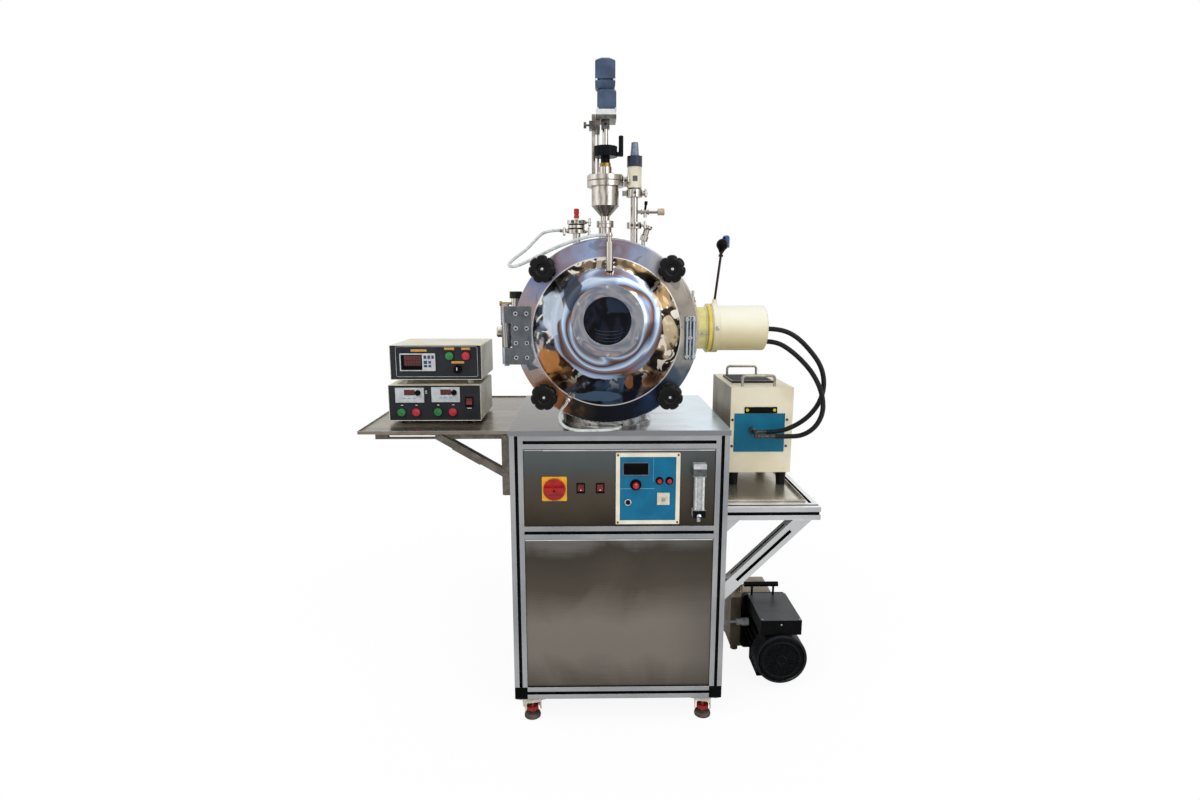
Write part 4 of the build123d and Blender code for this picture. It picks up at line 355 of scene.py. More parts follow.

# ---------------------------------------------------------------- cabinet frame
# Slotted aluminium profiles, 40 mm square, satin anodised, with black plastic
# corner cubes at the foot. The faces deep in the open slots are near black.


class Faces:
    """What can be asked of a node's faces, in cabinet millimetres: each one's middle, its outward
    normal, and the lowest and highest corner and the size of the solid that it belongs to."""

    def __init__(self, node):
        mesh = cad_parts[node].data
        spots = np.empty(len(mesh.vertices) * 3, np.float32)
        mesh.vertices.foreach_get("co", spots)
        corners = np.empty(len(mesh.loops), np.int32)
        mesh.loops.foreach_get("vertex_index", corners)
        self.spots = spots = (spots.reshape(-1, 3) - CABINET) * 1000
        self.corners = corners = corners.reshape(-1, 3)
        self.middle = spots[corners].mean(axis=1)
        first, second, third = (spots[corners[:, k]] for k in range(3))
        normal = np.cross(second - first, third - first)
        self.normal = normal / np.maximum(np.linalg.norm(normal, axis=1, keepdims=True), 1e-12)
        _, same = np.unique(np.round(spots, 2), axis=0, return_inverse=True)
        joined = same.ravel()[corners]
        label, spread = None, np.arange(joined.max() + 1)
        while label is None or (spread != label).any():
            label = spread
            lowest, spread = label[joined].min(axis=1), label.copy()
            for k in range(3):
                np.minimum.at(spread, joined[:, k], lowest)
            spread = spread[spread]
        solid = label[joined[:, 0]]
        low = np.full((len(label), 3), np.inf)
        high = -low
        for corner in (first, second, third):
            np.minimum.at(low, solid, corner)
            np.maximum.at(high, solid, corner)
        self.low, self.high = low[solid], high[solid]
        self.size = self.high - self.low

    def within(self, x=None, y=None, z=None, of=None):
        """Faces whose middle, or the points given, lie between these limits."""
        spots = self.middle if of is None else of
        chosen = np.ones(len(spots), bool)
        for axis, limits in enumerate((x, y, z)):
            if limits:
                chosen &= (spots[:, axis] >= limits[0]) & (spots[:, axis] <= limits[1])
        return chosen

    def solids(self, **limits):
        """Faces of the solids whose box has its middle between these limits."""
        return self.within(of=(self.low + self.high) / 2, **limits)

    def across(self, x, z, reach):
        """Faces whose middle is this near to a line that rises at 45 degrees through x, z."""
        off = (self.middle[:, 0] - x - self.middle[:, 2] + z) / 2 ** 0.5
        return np.abs(off) < reach

    def inside(self, depth):
        """Faces that lie deeper than this in their solid's box, across its longest side."""
        deep = np.minimum(self.middle - self.low, self.high - self.middle)
        deep[np.arange(len(deep)), self.size.argmax(axis=1)] = np.inf
        return deep.min(axis=1) > depth

    def facing(self, x=0, y=0, z=0):
        """Faces that look this way, to within 45 degrees."""
        return self.normal @ np.array((x, y, z), float) > 0.7


def dress(node, finish, *others):
    """Gives a node its finish, and each of the others to the faces that its test picks, in turn."""
    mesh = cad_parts[node].data
    mesh.materials[0] = finish.material
    if others:
        faces = Faces(node)
        kinds = np.zeros(len(mesh.polygons), np.int32)
        for k, (other, test) in enumerate(others, 1):
            mesh.materials.append(other.material)
            kinds[test(faces)] = k
        mesh.polygons.foreach_set("material_index", kinds)
    mesh.update()


anodised = coated("anodised aluminium", "adaeaf 94979a f0f2f4", 0.3, 0.3, vary=0.1, grain=0.0012,
                  radius=0.0016, metal=0.8)
slot_dark = coated("slot inside near black", "070708 101012", 0.04, 0.6, shine=0.15)
corner_black = coated("corner cube plastic", "040506 090a0d 25272d", 0.02, 0.42, radius=0.0015,
                      shine=0.06)
dress("cabinet_frame", anodised, (slot_dark, lambda f: f.inside(1.0)),
      (corner_black, lambda f: f.size.max(axis=1) < 50))

# ---------------------------------------------------------------- panels
# Sheet steel panels in the frame, brushed and clear lacquered, with painted reflections, each
# with a thin folded strip along its top edge that is painted near white as a highlight.


def solids(**limits):
    """A test for dress that picks whole solids by their box's middle."""
    return lambda faces: faces.solids(**limits)


def panel_steel(name, low, high, stops):
    """Brushed sheet with painted reflections: tones that change from its bottom to its top, with
    fine lines side to side and faint smears, and painted darker to the right."""
    finish = Finish(name, metal=0.75)
    lines = finish.noise(0.0012, 3.0, (80, 80, 1))
    smears = finish.noise(0.2, 4.0, (1, 1, 1.8), 0.8)
    # Painted reflections: tones by height with smears, and painted darker to the right.
    rise = (finish.part(2) - low) / (high - low) + (smears - 0.5) * 0.35
    tone = finish.ramp(rise + (lines - 0.5) * 0.12, stops)
    tone = finish.blend(finish.band(finish.part(0), 0.12, 0.36) * 0.5, tone, "3f3b36")
    return finish.close(tone, lines, 0.12, smears * 0.12 + 0.24, 0.000012, 0.0008, "b9b7b4", 0.6)


lower_steel = panel_steel("lower panel steel", 0.132, 0.621,
                          "0 5d564f  0.2 7d766e  0.42 7f7870  0.68 544d45  0.9 453f38  1 6a6763")
side_steel = panel_steel("side panel steel", 0.132, 0.9,
                         "0 77736f  0.4 98948f  0.75 85817c  1 6c6864")
strip_painted_highlight = coated("folded strip painted highlight", "e3e4e6 c3c5c8", 0.08, 0.22, metal=0.8)
dress("outer_panels", side_steel, (lower_steel, solids(y=(0, 20), z=(300, 500))))


def boxes(*places):
    """Six-sided blocks from rows of (x0, x1, y0, y1, z0, z1): each corner takes one of the two
    limits of each axis, and each side joins the four corners that share a limit."""
    limits = np.asarray(places, float).reshape(-1, 3, 2)
    pick = np.array([(i, j, k) for i in (0, 1) for j in (0, 1) for k in (0, 1)])
    corners = np.stack([limits[:, axis][:, pick[:, axis]] for axis in range(3)], -1)
    sides = np.array([(0, 1, 3, 2), (4, 6, 7, 5), (0, 4, 5, 1), (2, 3, 7, 6), (0, 2, 6, 4),
                      (1, 5, 7, 3)])
    faces = sides[None] + 8 * np.arange(len(limits))[:, None, None]
    return corners.reshape(-1, 3), faces.reshape(-1, 4)


# Thin lips along the panels' top edges, painted near white as a highlight.
piece("panel_top_strips", "cabinet", "outer_panels",
      (strip_painted_highlight, boxes((-226, 283, 3.2, 4.95, 893.5, 896.5), (-284, 283, 3.2, 4.95, 615, 618.5),
                           (-283, -226, 3.9, 4.95, 894.5, 896))))

# ---------------------------------------------------------------- table top
# One folded sheet of polished stainless steel with its front edge turned down. Reflections are
# painted into its tone: pale blue on the right and warm grey on the left.
table_steel = Finish("table top steel", metal=0.8)
clouds = table_steel.noise(0.07, 4.0, (2.4, 1, 1), 0.8)
tone = table_steel.ramp(
    (table_steel.part(0) + (clouds - 0.5) * 0.22) * 1.25 + 0.42,
    "0.05 3a3222  0.34 443b2a  0.46 5a5342  0.58 b4bcc1  0.72 d2e2ec  0.95 c3dbe6")
# Faces that do not look up are painted grey, as painted shade.
tone = table_steel.blend(table_steel.band(table_steel.looks(2), 0.6, 0.2), tone, "85868a")
table_steel.close(tone, clouds, 0.14, 0.1, 0.00005, 0.0015, "dfe3e8", 0.8)
dress("table_top", table_steel)

# ---------------------------------------------------------------- casters
# Ivory levelling casters: a moulded housing with a nylon wheel, a red levelling
# dial on a steel stem, and a rubber foot pad, under a screwed plate.
UP = (0, 0, 1)
ivory = coated("ivory moulding", "dcd6c6 c2bba9 f4f0e6", 0.02, 0.34, radius=0.0015)
dial_red = coated("red dial", "a51814 8b1310 d45a52", 0.012, 0.38, radius=0.0012)
pad_rubber = coated("foot pad rubber", "2c2b2b 1d1d1e", 0.02, 0.62, shine=0.25)
pad_brown = coated("foot pad brown", "5a524a 453f39 8b8378", 0.02, 0.55, shine=0.25)
wheel_nylon = coated("wheel nylon", "d2ccbd aca593 8f8a7c", 0.02, 0.42)
stem_steel = coated("stem steel", "b9bcc0 8a8d92", 0.01, 0.25, metal=0.85)
plate_grey = coated("caster plate", "9c9ea1 7e8084", 0.03, 0.35, metal=0.7)


def turned(rows, middle, axis=(0, -1, 0), around=32):
    """A turned shape: rows of (radius, distance along the axis), each a ring round the axis
    through the middle. Where a radius is 0 the ring closes to a point."""
    rows = np.asarray(rows, float)
    ahead = np.asarray(axis, float) / np.linalg.norm(axis)
    across = np.cross(ahead, (0.3, 0.2, 0.9) if abs(ahead[2]) < 0.9 else (1, 0, 0))
    across /= np.linalg.norm(across)
    lift = np.cross(ahead, across)
    turn = np.linspace(0, tau, around, endpoint=False)[:, None]
    ring = across * np.cos(turn) + lift * np.sin(turn)
    return skin(np.asarray(middle, float) + rows[:, 1, None, None] * ahead
                + rows[:, 0, None, None] * ring)


PAD_ROWS = ((0, 0.4), (23, 0.4), (26, 2), (26.4, 7), (25, 12), (22, 15.5), (10, 16.4), (0, 16.4))
for corner, x, y in (("front_left", -275, 50), ("front_right", 275, 50),
                     ("rear_left", -275, 560), ("rear_right", 275, 560)):
    dress("caster_housing_" + corner, ivory, (dial_red, solids(z=(31, 35))),
          (pad_rubber, solids(z=(6, 11))),
          (stem_steel, lambda f: f.solids(z=(40, 43)) & (f.size[:, 0] < 14)))
    dress("caster_wheel_" + corner, wheel_nylon)
    piece("caster_foot_ring_" + corner, "caster_" + corner, "caster_housing_" + corner,
          (pad_brown, turned(PAD_ROWS, (x, y, 0), UP, 40)))
dress("caster_plates", plate_grey)

# ---------------------------------------------------------------- side tray
# A fold-down shelf of the same polished sheet on two wall brackets, held up by a
# slotted brace at each end.
tray_steel = Finish("tray steel", metal=0.8)
clouds = tray_steel.noise(0.08, 4.0, (2.6, 1, 1), 0.6)
tray_steel.close(tray_steel.ramp(clouds, "0.3 5b5347  0.48 746c5f  0.66 8f8778"), clouds,
                 0.16, 0.2, 0.00004, 0.0012, "e6e4e2")
bracket_grey = coated("bracket grey", "726b63 5c564f d2d3d5", 0.03, 0.36, radius=0.0012,
                      metal=0.7)
bolt_steel = coated("bolt steel", "c6c8cb 8b8e93 f6f7f8", 0.006, 0.2, metal=0.9)
dress("side_tray", tray_steel, (bracket_grey, solids(z=(930, 945))))
dress("tray_wall_arms", bracket_grey, (bolt_steel, lambda f: f.size[:, 2] < 20))
dress("tray_braces", bracket_grey)

# ---------------------------------------------------------------- switches
# The main switch is a red disc with a bar grip on a yellow square plate. Two red
# rockers sit in black bezels beside it.
switch_yellow = coated("switch plate yellow", "eeb21c e2a012 f7d777", 0.03, 0.35, radius=0.0012)
switch_red = coated("switch red", "a81419 86090f e04f48", 0.02, 0.3, radius=0.0018, coat=0.2,
                    shine=0.35)
rocker_red = coated("rocker red", "750b14 54070e c9434a", 0.006, 0.24, radius=0.0012, coat=0.4,
                    shine=0.3)
black_plastic = coated("black plastic", "060607 0d0d0f 34343a", 0.015, 0.34, radius=0.001,
                       shine=0.1)
lamp_white = coated("rocker lamp", "f2e6e0 e0cfc8", 0.002, 0.2)
upper_steel = panel_steel("upper panel steel", 0.661, 0.9,
                          "0 352e25  0.3 4a4339  0.62 514d47  0.72 4e5453  1 5a605f")


def several(rows, middles, axis=(0, -1, 0), around=32):
    """The same turned shape at several places."""
    return [turned(rows, middle, axis, around) for middle in middles]


dress("control_panel", upper_steel,
      (switch_yellow, lambda f: f.solids(x=(-230, -160), y=(-10, 20), z=(740, 815))
       & (f.size[:, 0] < 100)),
      (black_plastic, lambda f: f.solids(x=(-135, -40), z=(760, 800)) & (f.size[:, 0] < 100)))
dress("main_switch", switch_red)
for rocker, x in (("rocker_left", -115), ("rocker_right", -57.5)):
    dress(rocker, rocker_red)
    piece(rocker + "_lamp", rocker, rocker, (lamp_white, turned(
        ((0, 0.2), (1.7, 0.2), (2, 0.9), (1.5, 1.5), (0, 1.8)), (x, 0.5, 774.5), around=14)))
piece("switch_plate_marks", "cabinet", "control_panel", (black_plastic, *several(
    ((0, -0.6), (2.1, -0.6), (2.1, 0.5), (0, 0.5)), ((-222, 2, 806), (-165.5, 2, 799)),
    around=16)))
piece("main_switch_pin", "main_switch", "main_switch", (black_plastic, turned(
    ((0, 0), (3.4, 0), (3.4, 0.5), (2.6, 0.9), (1.9, 0.5), (0, 0.4)), (-193.5, -21, 778),
    around=20)))

# ---------------------------------------------------------------- furnace controller
# A cream moulded frame round a teal front, with a display, a large red power knob,
# a trim knob, two small red buttons and a square start button.
cream = coated("cream moulding", "e8e1cc dbd3bb f8f4e8", 0.05, 0.4, radius=0.0015)
teal = coated("teal front", "046a8e 056083", 0.05, 0.4, radius=0.0005, shine=0.25)
mark_pale = coated("pale pointer mark", "ead9d2 d8c4bd", 0.002, 0.4)
teal_pale = coated("pale printed line", "7fb7d0 6aa9c6", 0.02, 0.45)
bezel_blue = coated("display bezel", "55687d 475a6f 8a9db0", 0.02, 0.34, shine=0.3)
screen_black = coated("display screen", "020203 060609", 0.01, 0.2, vary=0.03, shine=0.08)
screw_dark = coated("dark screw", "4a4845 2a2928 a5a39f", 0.004, 0.35, metal=0.7)
button_red = coated("red button", "c41c1e a31518 ef7a70", 0.004, 0.28, radius=0.0012, coat=0.3,
                    shine=0.3)
chrome_ring = coated("chrome ring", "e4e6e8 9b9fa5", 0.004, 0.14, metal=0.95)
mark_grey = coated("button mark grey", "a39c8d 8e8778", 0.01, 0.4)
start_face = coated("start button face", "cfc8b6 c2baa7 f4f0e4", 0.02, 0.36, radius=0.001)


def outline(width, height, corner, steps=5):
    """A rounded rectangle round the origin: quarter circles of one radius at its four corners."""
    quarter, step = np.divmod(np.arange(4 * steps), steps)
    turn = (quarter + step / (steps - 1)) * pi / 2
    sign = np.array(((1, 1), (-1, 1), (-1, -1), (1, -1)))[quarter]
    middle = sign * (width / 2 - corner, height / 2 - corner)
    return middle + corner * np.stack((np.cos(turn), np.sin(turn)), -1)


def levels(middle, rows, steps=5):
    """Rounded rectangles round one middle, from rows of (width, height, corner, level)."""
    return np.stack([np.insert(outline(wide, tall, cut, steps) + middle, 2, level, axis=1)
                     for wide, tall, cut, level in rows])


def shut(grid):
    """A solid through outlines, its ends closed to the first and last ones' middle points."""
    ends = np.repeat(grid[[0, -1]].mean(axis=1, keepdims=True), grid.shape[1], axis=1)
    return skin(np.concatenate((ends[:1], grid, ends[1:])))


def raised(x, z, corner, *rows, up=False):
    """A moulded plate on limits x and z: rows of (inset, depth), each the same rounded rectangle
    drawn in by the inset at that depth. Facing up, z is the y axis and the depth is z."""
    grid = levels(((x[0] + x[1]) / 2, (z[0] + z[1]) / 2),
                  [(x[1] - x[0] - 2 * inset, z[1] - z[0] - 2 * inset, max(corner - inset, 0.05),
                    depth) for inset, depth in rows])
    return shut(grid if up else grid[..., [0, 2, 1]])


def within(**limits):
    """A test for dress that picks faces by their middle."""
    return lambda faces: faces.within(**limits)


dress("furnace_controller", cream,
      (teal, lambda f: f.facing(y=-1) & f.within(x=(1, 167.5), y=(-2.6, -1.2), z=(681, 876))),
      (black_plastic, within(x=(29, 67), y=(-25, -2.05), z=(772, 811))),
      (black_plastic, within(x=(108, 158), y=(-25, -2.05), z=(793, 813))),
      (chrome_ring, within(x=(14, 36), y=(-25, -2.05), z=(726, 749))),
      (screw_dark, lambda f: f.size.max(axis=1) < 10))
dress("start_button", cream)
KNOB, TRIM, SMALL = (48, -6.8, 791.2), (25.2, -2, 737.4), ((118.3, -1.9, 803.4),
                                                           (147.8, -1.9, 803.4))
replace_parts(piece(
    "power_knob_cap", "power_knob", "power_knob",
    (black_plastic, turned(((0, -4.2), (11.6, -4.2), (11.6, -2.4), (10.4, -0.6), (0, -0.6)),
                           KNOB, around=40)),
    (button_red, turned(((0, -1), (9.2, -1), (9.2, 7), (8.7, 10.6), (7.6, 11.6), (4, 12),
                         (3.6, 11.7), (0, 11.7)), KNOB, around=40)),
    (mark_pale, boxes((47.4, 48.6, -19.1, -18.4, 795, 799.4)))), "power_knob")
piece("controller_display", "cabinet", "furnace_controller",
      (bezel_blue, raised((8, 88.5), (818.5, 861.5), 2.5, (0, -1.5), (0, -4.2), (0.8, -5),
                          (3.4, -5), (3.9, -4.2), (3.9, -3))),
      (screen_black, raised((11.6, 84.9), (822.1, 857.9), 1, (0, -2.5), (0, -3.4), (0.3, -3.6))))
piece("controller_small_parts", "cabinet", "furnace_controller",
      (teal_pale, boxes((2.5, 104, -2.35, -1.9, 778.4, 779.6),
                        (100, 100.7, -2.35, -1.9, 800, 877))),
      (black_plastic, *several(((8.7, 0), (12, 0), (12, 1.4), (11.2, 2.2), (8.7, 2.2), (8.7, 0)),
                               SMALL),
       turned(((0, 3.9), (6.2, 3.9), (6.2, 7), (5.4, 7.8), (2, 8), (1.6, 7.2), (0, 7.2)), TRIM)),
      (button_red, *several(((0, 6), (7, 6), (7, 8.6), (6.2, 9.6), (3, 9.9), (0, 9.9)), SMALL)),
      (chrome_ring, turned(((6.6, 2), (10.4, 2), (10.4, 3.9), (9.4, 4.8), (7.2, 4.4), (6.6, 3.6),
                            (6.6, 2)), TRIM)))
piece("start_button_face", "start_button", "start_button",
      (start_face, raised((117.6, 143.8), (734.4, 760.6), 6, (0, -7.4), (0, -9), (1, -9.8),
                          (12, -9.4))),
      (mark_grey, raised((124.5, 137), (741, 754), 3, (0, -9.3), (0, -9.75), (0.6, -10),
                         (1.8, -10), (2.2, -9.7))))

# ---------------------------------------------------------------- flowmeter
# A clear plastic tube between two silver end blocks, with a steel ball in it, a
# ticked scale behind it and a round metering valve below.
silver_block = coated("silver block", "d9dbdd b7babd f4f5f6", 0.02, 0.3, radius=0.0012, metal=0.4)
block_dark = coated("dark block band", "4b4d50 5f6265", 0.02, 0.3, metal=0.5)
clear_tube = coated("clear tube", "e2e6e6 bfc6c8", 0.008, 0.12, alpha=0.45)
scale_white = coated("scale white", "dcdedd bcbfbf", 0.006, 0.5)
tick_dark = coated("scale tick", "55585b 3f4245", 0.01, 0.5)
float_ball = coated("float ball", "6d7074 3c3f43", 0.004, 0.2, metal=0.9)
dress("flowmeter", silver_block, (clear_tube, solids(z=(765, 771))),
      (float_ball, solids(z=(758, 764.5))),
      (black_plastic, lambda f: f.solids(z=(700, 710)) & f.facing(y=-1)))
dress("flow_valve", bolt_steel)
piece("flowmeter_scale", "cabinet", "flowmeter",
      (block_dark, raised((217.2, 254.8), (821, 843), 1.5, (0, -20), (0, -21.6), (0.8, -22.4)),
       boxes((216.7, 217.1, -20, 18, 822, 842), (254.9, 255.3, -20, 18, 822, 842))),
      (scale_white, boxes((222.5, 227.5, -20.9, -19.2, 718, 818),
                          (244.5, 249.5, -20.9, -19.2, 718, 818))),
      (tick_dark, boxes(*((223, 225.4 + 1.8 * (k % 5 == 0), -21.2, -20.8, z - 0.35, z + 0.35)
                          for k, z in enumerate(np.linspace(726, 812, 22))))))
piece("flow_valve_knob", "flow_valve", "flow_valve", (chrome_ring, turned(
    ((0, 0), (4, 0), (9.2, 0.6), (9.8, 1.6), (9.8, 8), (8.8, 9.4), (0, 9.8)), (236, -12, 702),
    (0.1, -0.5, -1), 36)))

# ---------------------------------------------------------------- control boxes
# Two cream table-top cases on rubber feet, one on the other, with near-black
# fronts that carry buttons, a selector, a rocker and display modules.
case_cream = coated("case cream", "e6e1cf d6d0ba f6f3e6", 0.08, 0.42, radius=0.0016)
front_dark = coated("dark front", "25272a 2d3034", 0.06, 0.4, shine=0.2)
foot_rubber = coated("foot rubber", "101012 1c1c1e", 0.01, 0.6, shine=0.2)
foot_grey = coated("grey foot", "b5b3ab 9c9a92", 0.01, 0.55)
module_grey = coated("module grey", "c6c9cb b2b6b9 e8eaeb", 0.02, 0.34, radius=0.0008)
button_green = coated("green button", "2b8044 1f6a37 7cc492", 0.004, 0.3, radius=0.0012,
                      coat=0.3, shine=0.3)
button_rose = coated("rose button", "c8253c ad1b30 ee7684", 0.004, 0.3, radius=0.0012, coat=0.3,
                     shine=0.3)
screen_brown = coated("lit screen", "2a1414 361a18", 0.012, 0.18, vary=0.05)
digit_red = coated("lit figures", "8e3128 742822", 0.01, 0.4)
key_blue = coated("blue key", "2a3f63 22345a", 0.004, 0.4)
mark_blue = coated("pale blue mark", "3fa0cf 2f8fc0", 0.004, 0.4)
label_orange = coated("blank orange label", "d39a4c c0863a", 0.006, 0.45)
line_pale = coated("pale border line", "b9bec4 9aa0a7", 0.03, 0.45)
mark_white = coated("white mark", "e9ebec d3d6d8", 0.004, 0.4)
for box, foot, finish in (("lower_controller", 962, foot_rubber),
                          ("upper_controller", 1090, foot_grey)):
    dress(box, case_cream, (front_dark, solids(y=(120, 130))),
          (black_plastic, lambda f: f.solids(y=(118, 133)) & (f.size[:, 0] < 60)),
          (finish, lambda f: f.high[:, 2] < foot))

# Each push button is a cap with fine rings moulded in its face, in a black bezel.
CAP_ROWS = ((0, 0), (10.8, 0), (10.8, 5.3), (12.4, 5.3), (12.4, 6), (11.9, 7.2), (10.6, 7.9),
            (9.4, 7.6), (9, 7.95), (7.2, 8.05), (6.8, 7.7), (6.2, 8.1), (4.2, 8.15), (3.8, 7.8),
            (3.2, 8.2), (0, 8.2))
for button, x, z, finish in (("upper_green_button", -514, 1162, button_green),
                             ("upper_red_button", -464, 1162, button_rose),
                             ("lower_green_button_left", -667, 988, button_green),
                             ("lower_red_button_left", -622, 988, button_rose),
                             ("lower_green_button_right", -555, 989, button_green),
                             ("lower_red_button_right", -509.5, 989, button_rose)):
    cap = turned(CAP_ROWS, (x, 124, z), around=40)
    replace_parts(piece(button + "_cap", button, button, (finish, cap)), button)
dress("lower_rocker", rocker_red)
dress("upper_selector", black_plastic)
piece("upper_selector_mark", "upper_selector", "upper_selector",
      (mark_white, boxes((-492.4, -490, 110.6, 111.6, 1118.5, 1128))))

# Each bar of a figure eight: its middle and its size, as shares of the figure.
SEGMENTS = ((0.5, 1.0, 0.8, 0.16), (0.5, 0.5, 0.8, 0.16), (0.5, 0.0, 0.8, 0.16),
            (0.0, 0.75, 0.16, 0.42), (1.0, 0.75, 0.16, 0.42), (0.0, 0.25, 0.16, 0.42),
            (1.0, 0.25, 0.16, 0.42))


def digits(x, z, count, face):
    """A row of seven-segment figures eight, filling the limits x and z: each segment is a thin
    block at its share of the figure's width and height."""
    pitch, tall, thick = (x[1] - x[0]) / count, z[1] - z[0], 0.25
    wide = pitch * 0.55
    return boxes(*((left + wide * (u - w / 2), left + wide * (u + w / 2), face - thick, face,
                    z[0] + tall * (v - h / 2 * 0.9), z[0] + tall * (v + h / 2 * 0.9))
                   for left in x[0] + pitch * (np.arange(count) + 0.2)
                   for u, v, w, h in SEGMENTS))


KEYS = (((-592, -584), (1154, 1164)), ((-580, -572), (1154, 1164)), ((-568, -561), (1154, 1164)),
        ((-592, -582), (1138, 1148)), ((-578, -570), (1139, 1147)), ((-592, -582), (1128, 1135)),
        ((-578, -570), (1128, 1135)))
piece("upper_display", "tray", "upper_controller",
      (module_grey, raised((-665.5, -557), (1116, 1170), 2, (0, 122.6), (0, 119.6),
                           (0.8, 118.8))),
      (screen_black, raised((-661.5, -597), (1119.5, 1166.5), 1, (0, 119), (0, 118.6),
                            (0.2, 118.5))),
      (screen_brown, raised((-652, -599.5), (1132, 1164), 0.6, (0, 118.7), (0, 118.35),
                            (0.2, 118.3))),
      (digit_red, digits((-651, -600), (1151, 1161), 6, 118.35),
       digits((-651, -600), (1136, 1146), 6, 118.35)),
      (key_blue, *(raised(x, z, 1, (0, 119), (0, 118.2), (0.3, 118)) for x, z in KEYS)))
BORDER = ((249, 93, 6, 121.9), (249, 93, 6, 121.6), (246.4, 90.4, 4.7, 121.6),
          (246.4, 90.4, 4.7, 121.9))
LABELS = ((-606.6, 1178.8, 49), (-514, 1184, 31), (-464, 1184, 27), (-489.6, 1142.5, 39))
piece("upper_front_trim", "tray", "upper_controller",
      (line_pale, skin(levels((-553.3, 1144.6), BORDER)[..., [0, 2, 1]], wrap_rows=True)),
      (label_orange, *(raised((x - w / 2, x + w / 2), (z - 3.6, z + 3.6), 1.5, (0, 122),
                              (0, 121.5), (0.3, 121.3)) for x, z, w in LABELS)))
for name, left, right, low, high, x, z in (
        ("left", -684.5, -596.4, 1018.1, 1064.3, -614.9, 1049),
        ("right", -573.7, -486.6, 1019.3, 1066, -503.9, 1050)):
    screen = (x - 42, x - 9.5)
    piece("lower_module_" + name, "tray", "lower_controller",
          (module_grey, raised((left, right), (low, high), 1.2, (0, 123.4), (0, 120.8),
                               (0.7, 120.2))),
          (screen_brown, raised(screen, (z - 7.5, z + 9.5), 0.6, (0, 120.5), (0, 119.9),
                                (0.2, 119.8))),
          (digit_red, digits(screen, (z - 4.5, z + 6.5), 4, 119.85)),
          (black_plastic, turned(((0, 0), (8.6, 0), (8.6, 5), (7.9, 6.4), (6.8, 6.8), (3, 6.4),
                                  (0, 6.6)), (x, 120.3, z), around=28)),
          (mark_blue, boxes(*((left + at, left + at + 8, 119.9, 120.3, low + 12.6, low + 15.2)
                              for at in (24, 38, 54)))))
MARKS = ((-665, 1010), (-621, 1010), (-554, 1010.5), (-508, 1011), (-590, 1048), (-590, 1054))
piece("lower_front_marks", "tray", "lower_controller",
      (mark_white, boxes(*((x - 3.5, x + 3.5, 121.7, 122.05, z - 1, z + 1) for x, z in MARKS),
                         (-466, -452, 121.7, 122.05, 999.5, 1001.5))))

# ---------------------------------------------------------------- chamber
# A turned and welded stainless vacuum chamber on its side, polished outside, on a
# bolted pedestal.


def polished(name, stops, metal, wander=0.35, cloud=0.02, rough=0.1):
    """Bright metal with painted reflections: its tone follows which way the surface looks, in light
    and dark bands as round a bright bar, which wander with noise, and its undersides are painted
    darker as shade."""
    finish = Finish(name, metal=metal)
    side, up = finish.looks(0), finish.looks(2)
    clouds = finish.noise(cloud, 3.0, (1, 1, 1.6), 0.6)
    tone = finish.ramp(side * 0.4 + up * 0.12 + (clouds - 0.5) * wander + 0.5, stops)
    # Undersides painted darker as shade.
    tone = finish.blend(finish.band(0 - up, 0.25, 0.9) * 0.8, tone, "37322d")
    return finish.close(tone, clouds, 0.12, rough, 0.00002, 0.0008, "f7f8f8", 0.75)


# Its light and dark bands are painted reflections, its undersides painted shade.
vessel_steel = polished(
    "vessel steel", "0.1 3d3b3a  0.25 8d8880  0.36 c9c6c0  0.47 77726c  0.57 a9a8a6  "
    "0.68 5b5a5a  0.82 bfc3c8", 0.85, wander=0.6, cloud=0.06, rough=0.12)
seal_black = coated("door seal", "0d0d0e 161617", 0.02, 0.5, shine=0.2)
dress("chamber_shell", vessel_steel, (seal_black, solids(y=(-13, -9))))

# ---------------------------------------------------------------- door
# A mirror-polished dished door with a bolted sight glass in the middle. Its dish is spun, and its
# reflections are painted into its tone, drawn out in rings and crescents round the glass.
door_steel = Finish("mirror door steel", metal=0.9)
CENTRE, GLASS = (-40, 0, 1244), (-40, 0, 1270)
# The spun dish ends this far from the middle, in metres, in a thin painted highlight rim.
DISH_EDGE = 0.2065


def polar(finish, about):
    """Distance from a point seen from the front, in metres, the turn about it from 0 at the left
    through 0.25 at the bottom back to 1, and how far it lies to the right and up."""
    x, z = finish.part(0, about), finish.part(2, about)
    turn = finish.node("Math", {"operation": "ARCTAN2"}, {0: z, 1: x}) / tau + 0.5
    return (x * x + z * z) ** 0.5, turn, x, z


def rings(finish, about, size, along, detail=3.0, twist=0.0):
    """Noise drawn out round a point: its features are this size outwards and about this many
    fill the turn, from the direction times a radius, and the distance."""
    away, _, x, z = polar(finish, about)
    across = along * size / tau
    where = finish.node("CombineXYZ", {}, {0: x / away * across, 1: away, 2: z / away * across})
    return finish.node("TexNoise", {}, {"Vector": where, "Scale": 1 / size, "Detail": detail,
                                        "Distortion": twist})


band, blend, ramp = door_steel.band, door_steel.blend, door_steel.ramp
away, turn, x, z = polar(door_steel, CENTRE)
near = polar(door_steel, GLASS)[0]
soft = door_steel.noise(0.05, 2.0)
swirl = rings(door_steel, GLASS, 0.07, 2.6, 1.0, 1.0)
fine = rings(door_steel, GLASS, 0.014, 5, 2.0, 0.6)
broken = rings(door_steel, CENTRE, 0.085, 15, 1.2, 1.1)
glint = rings(door_steel, CENTRE, 0.04, 26, 1.0, 1.6)
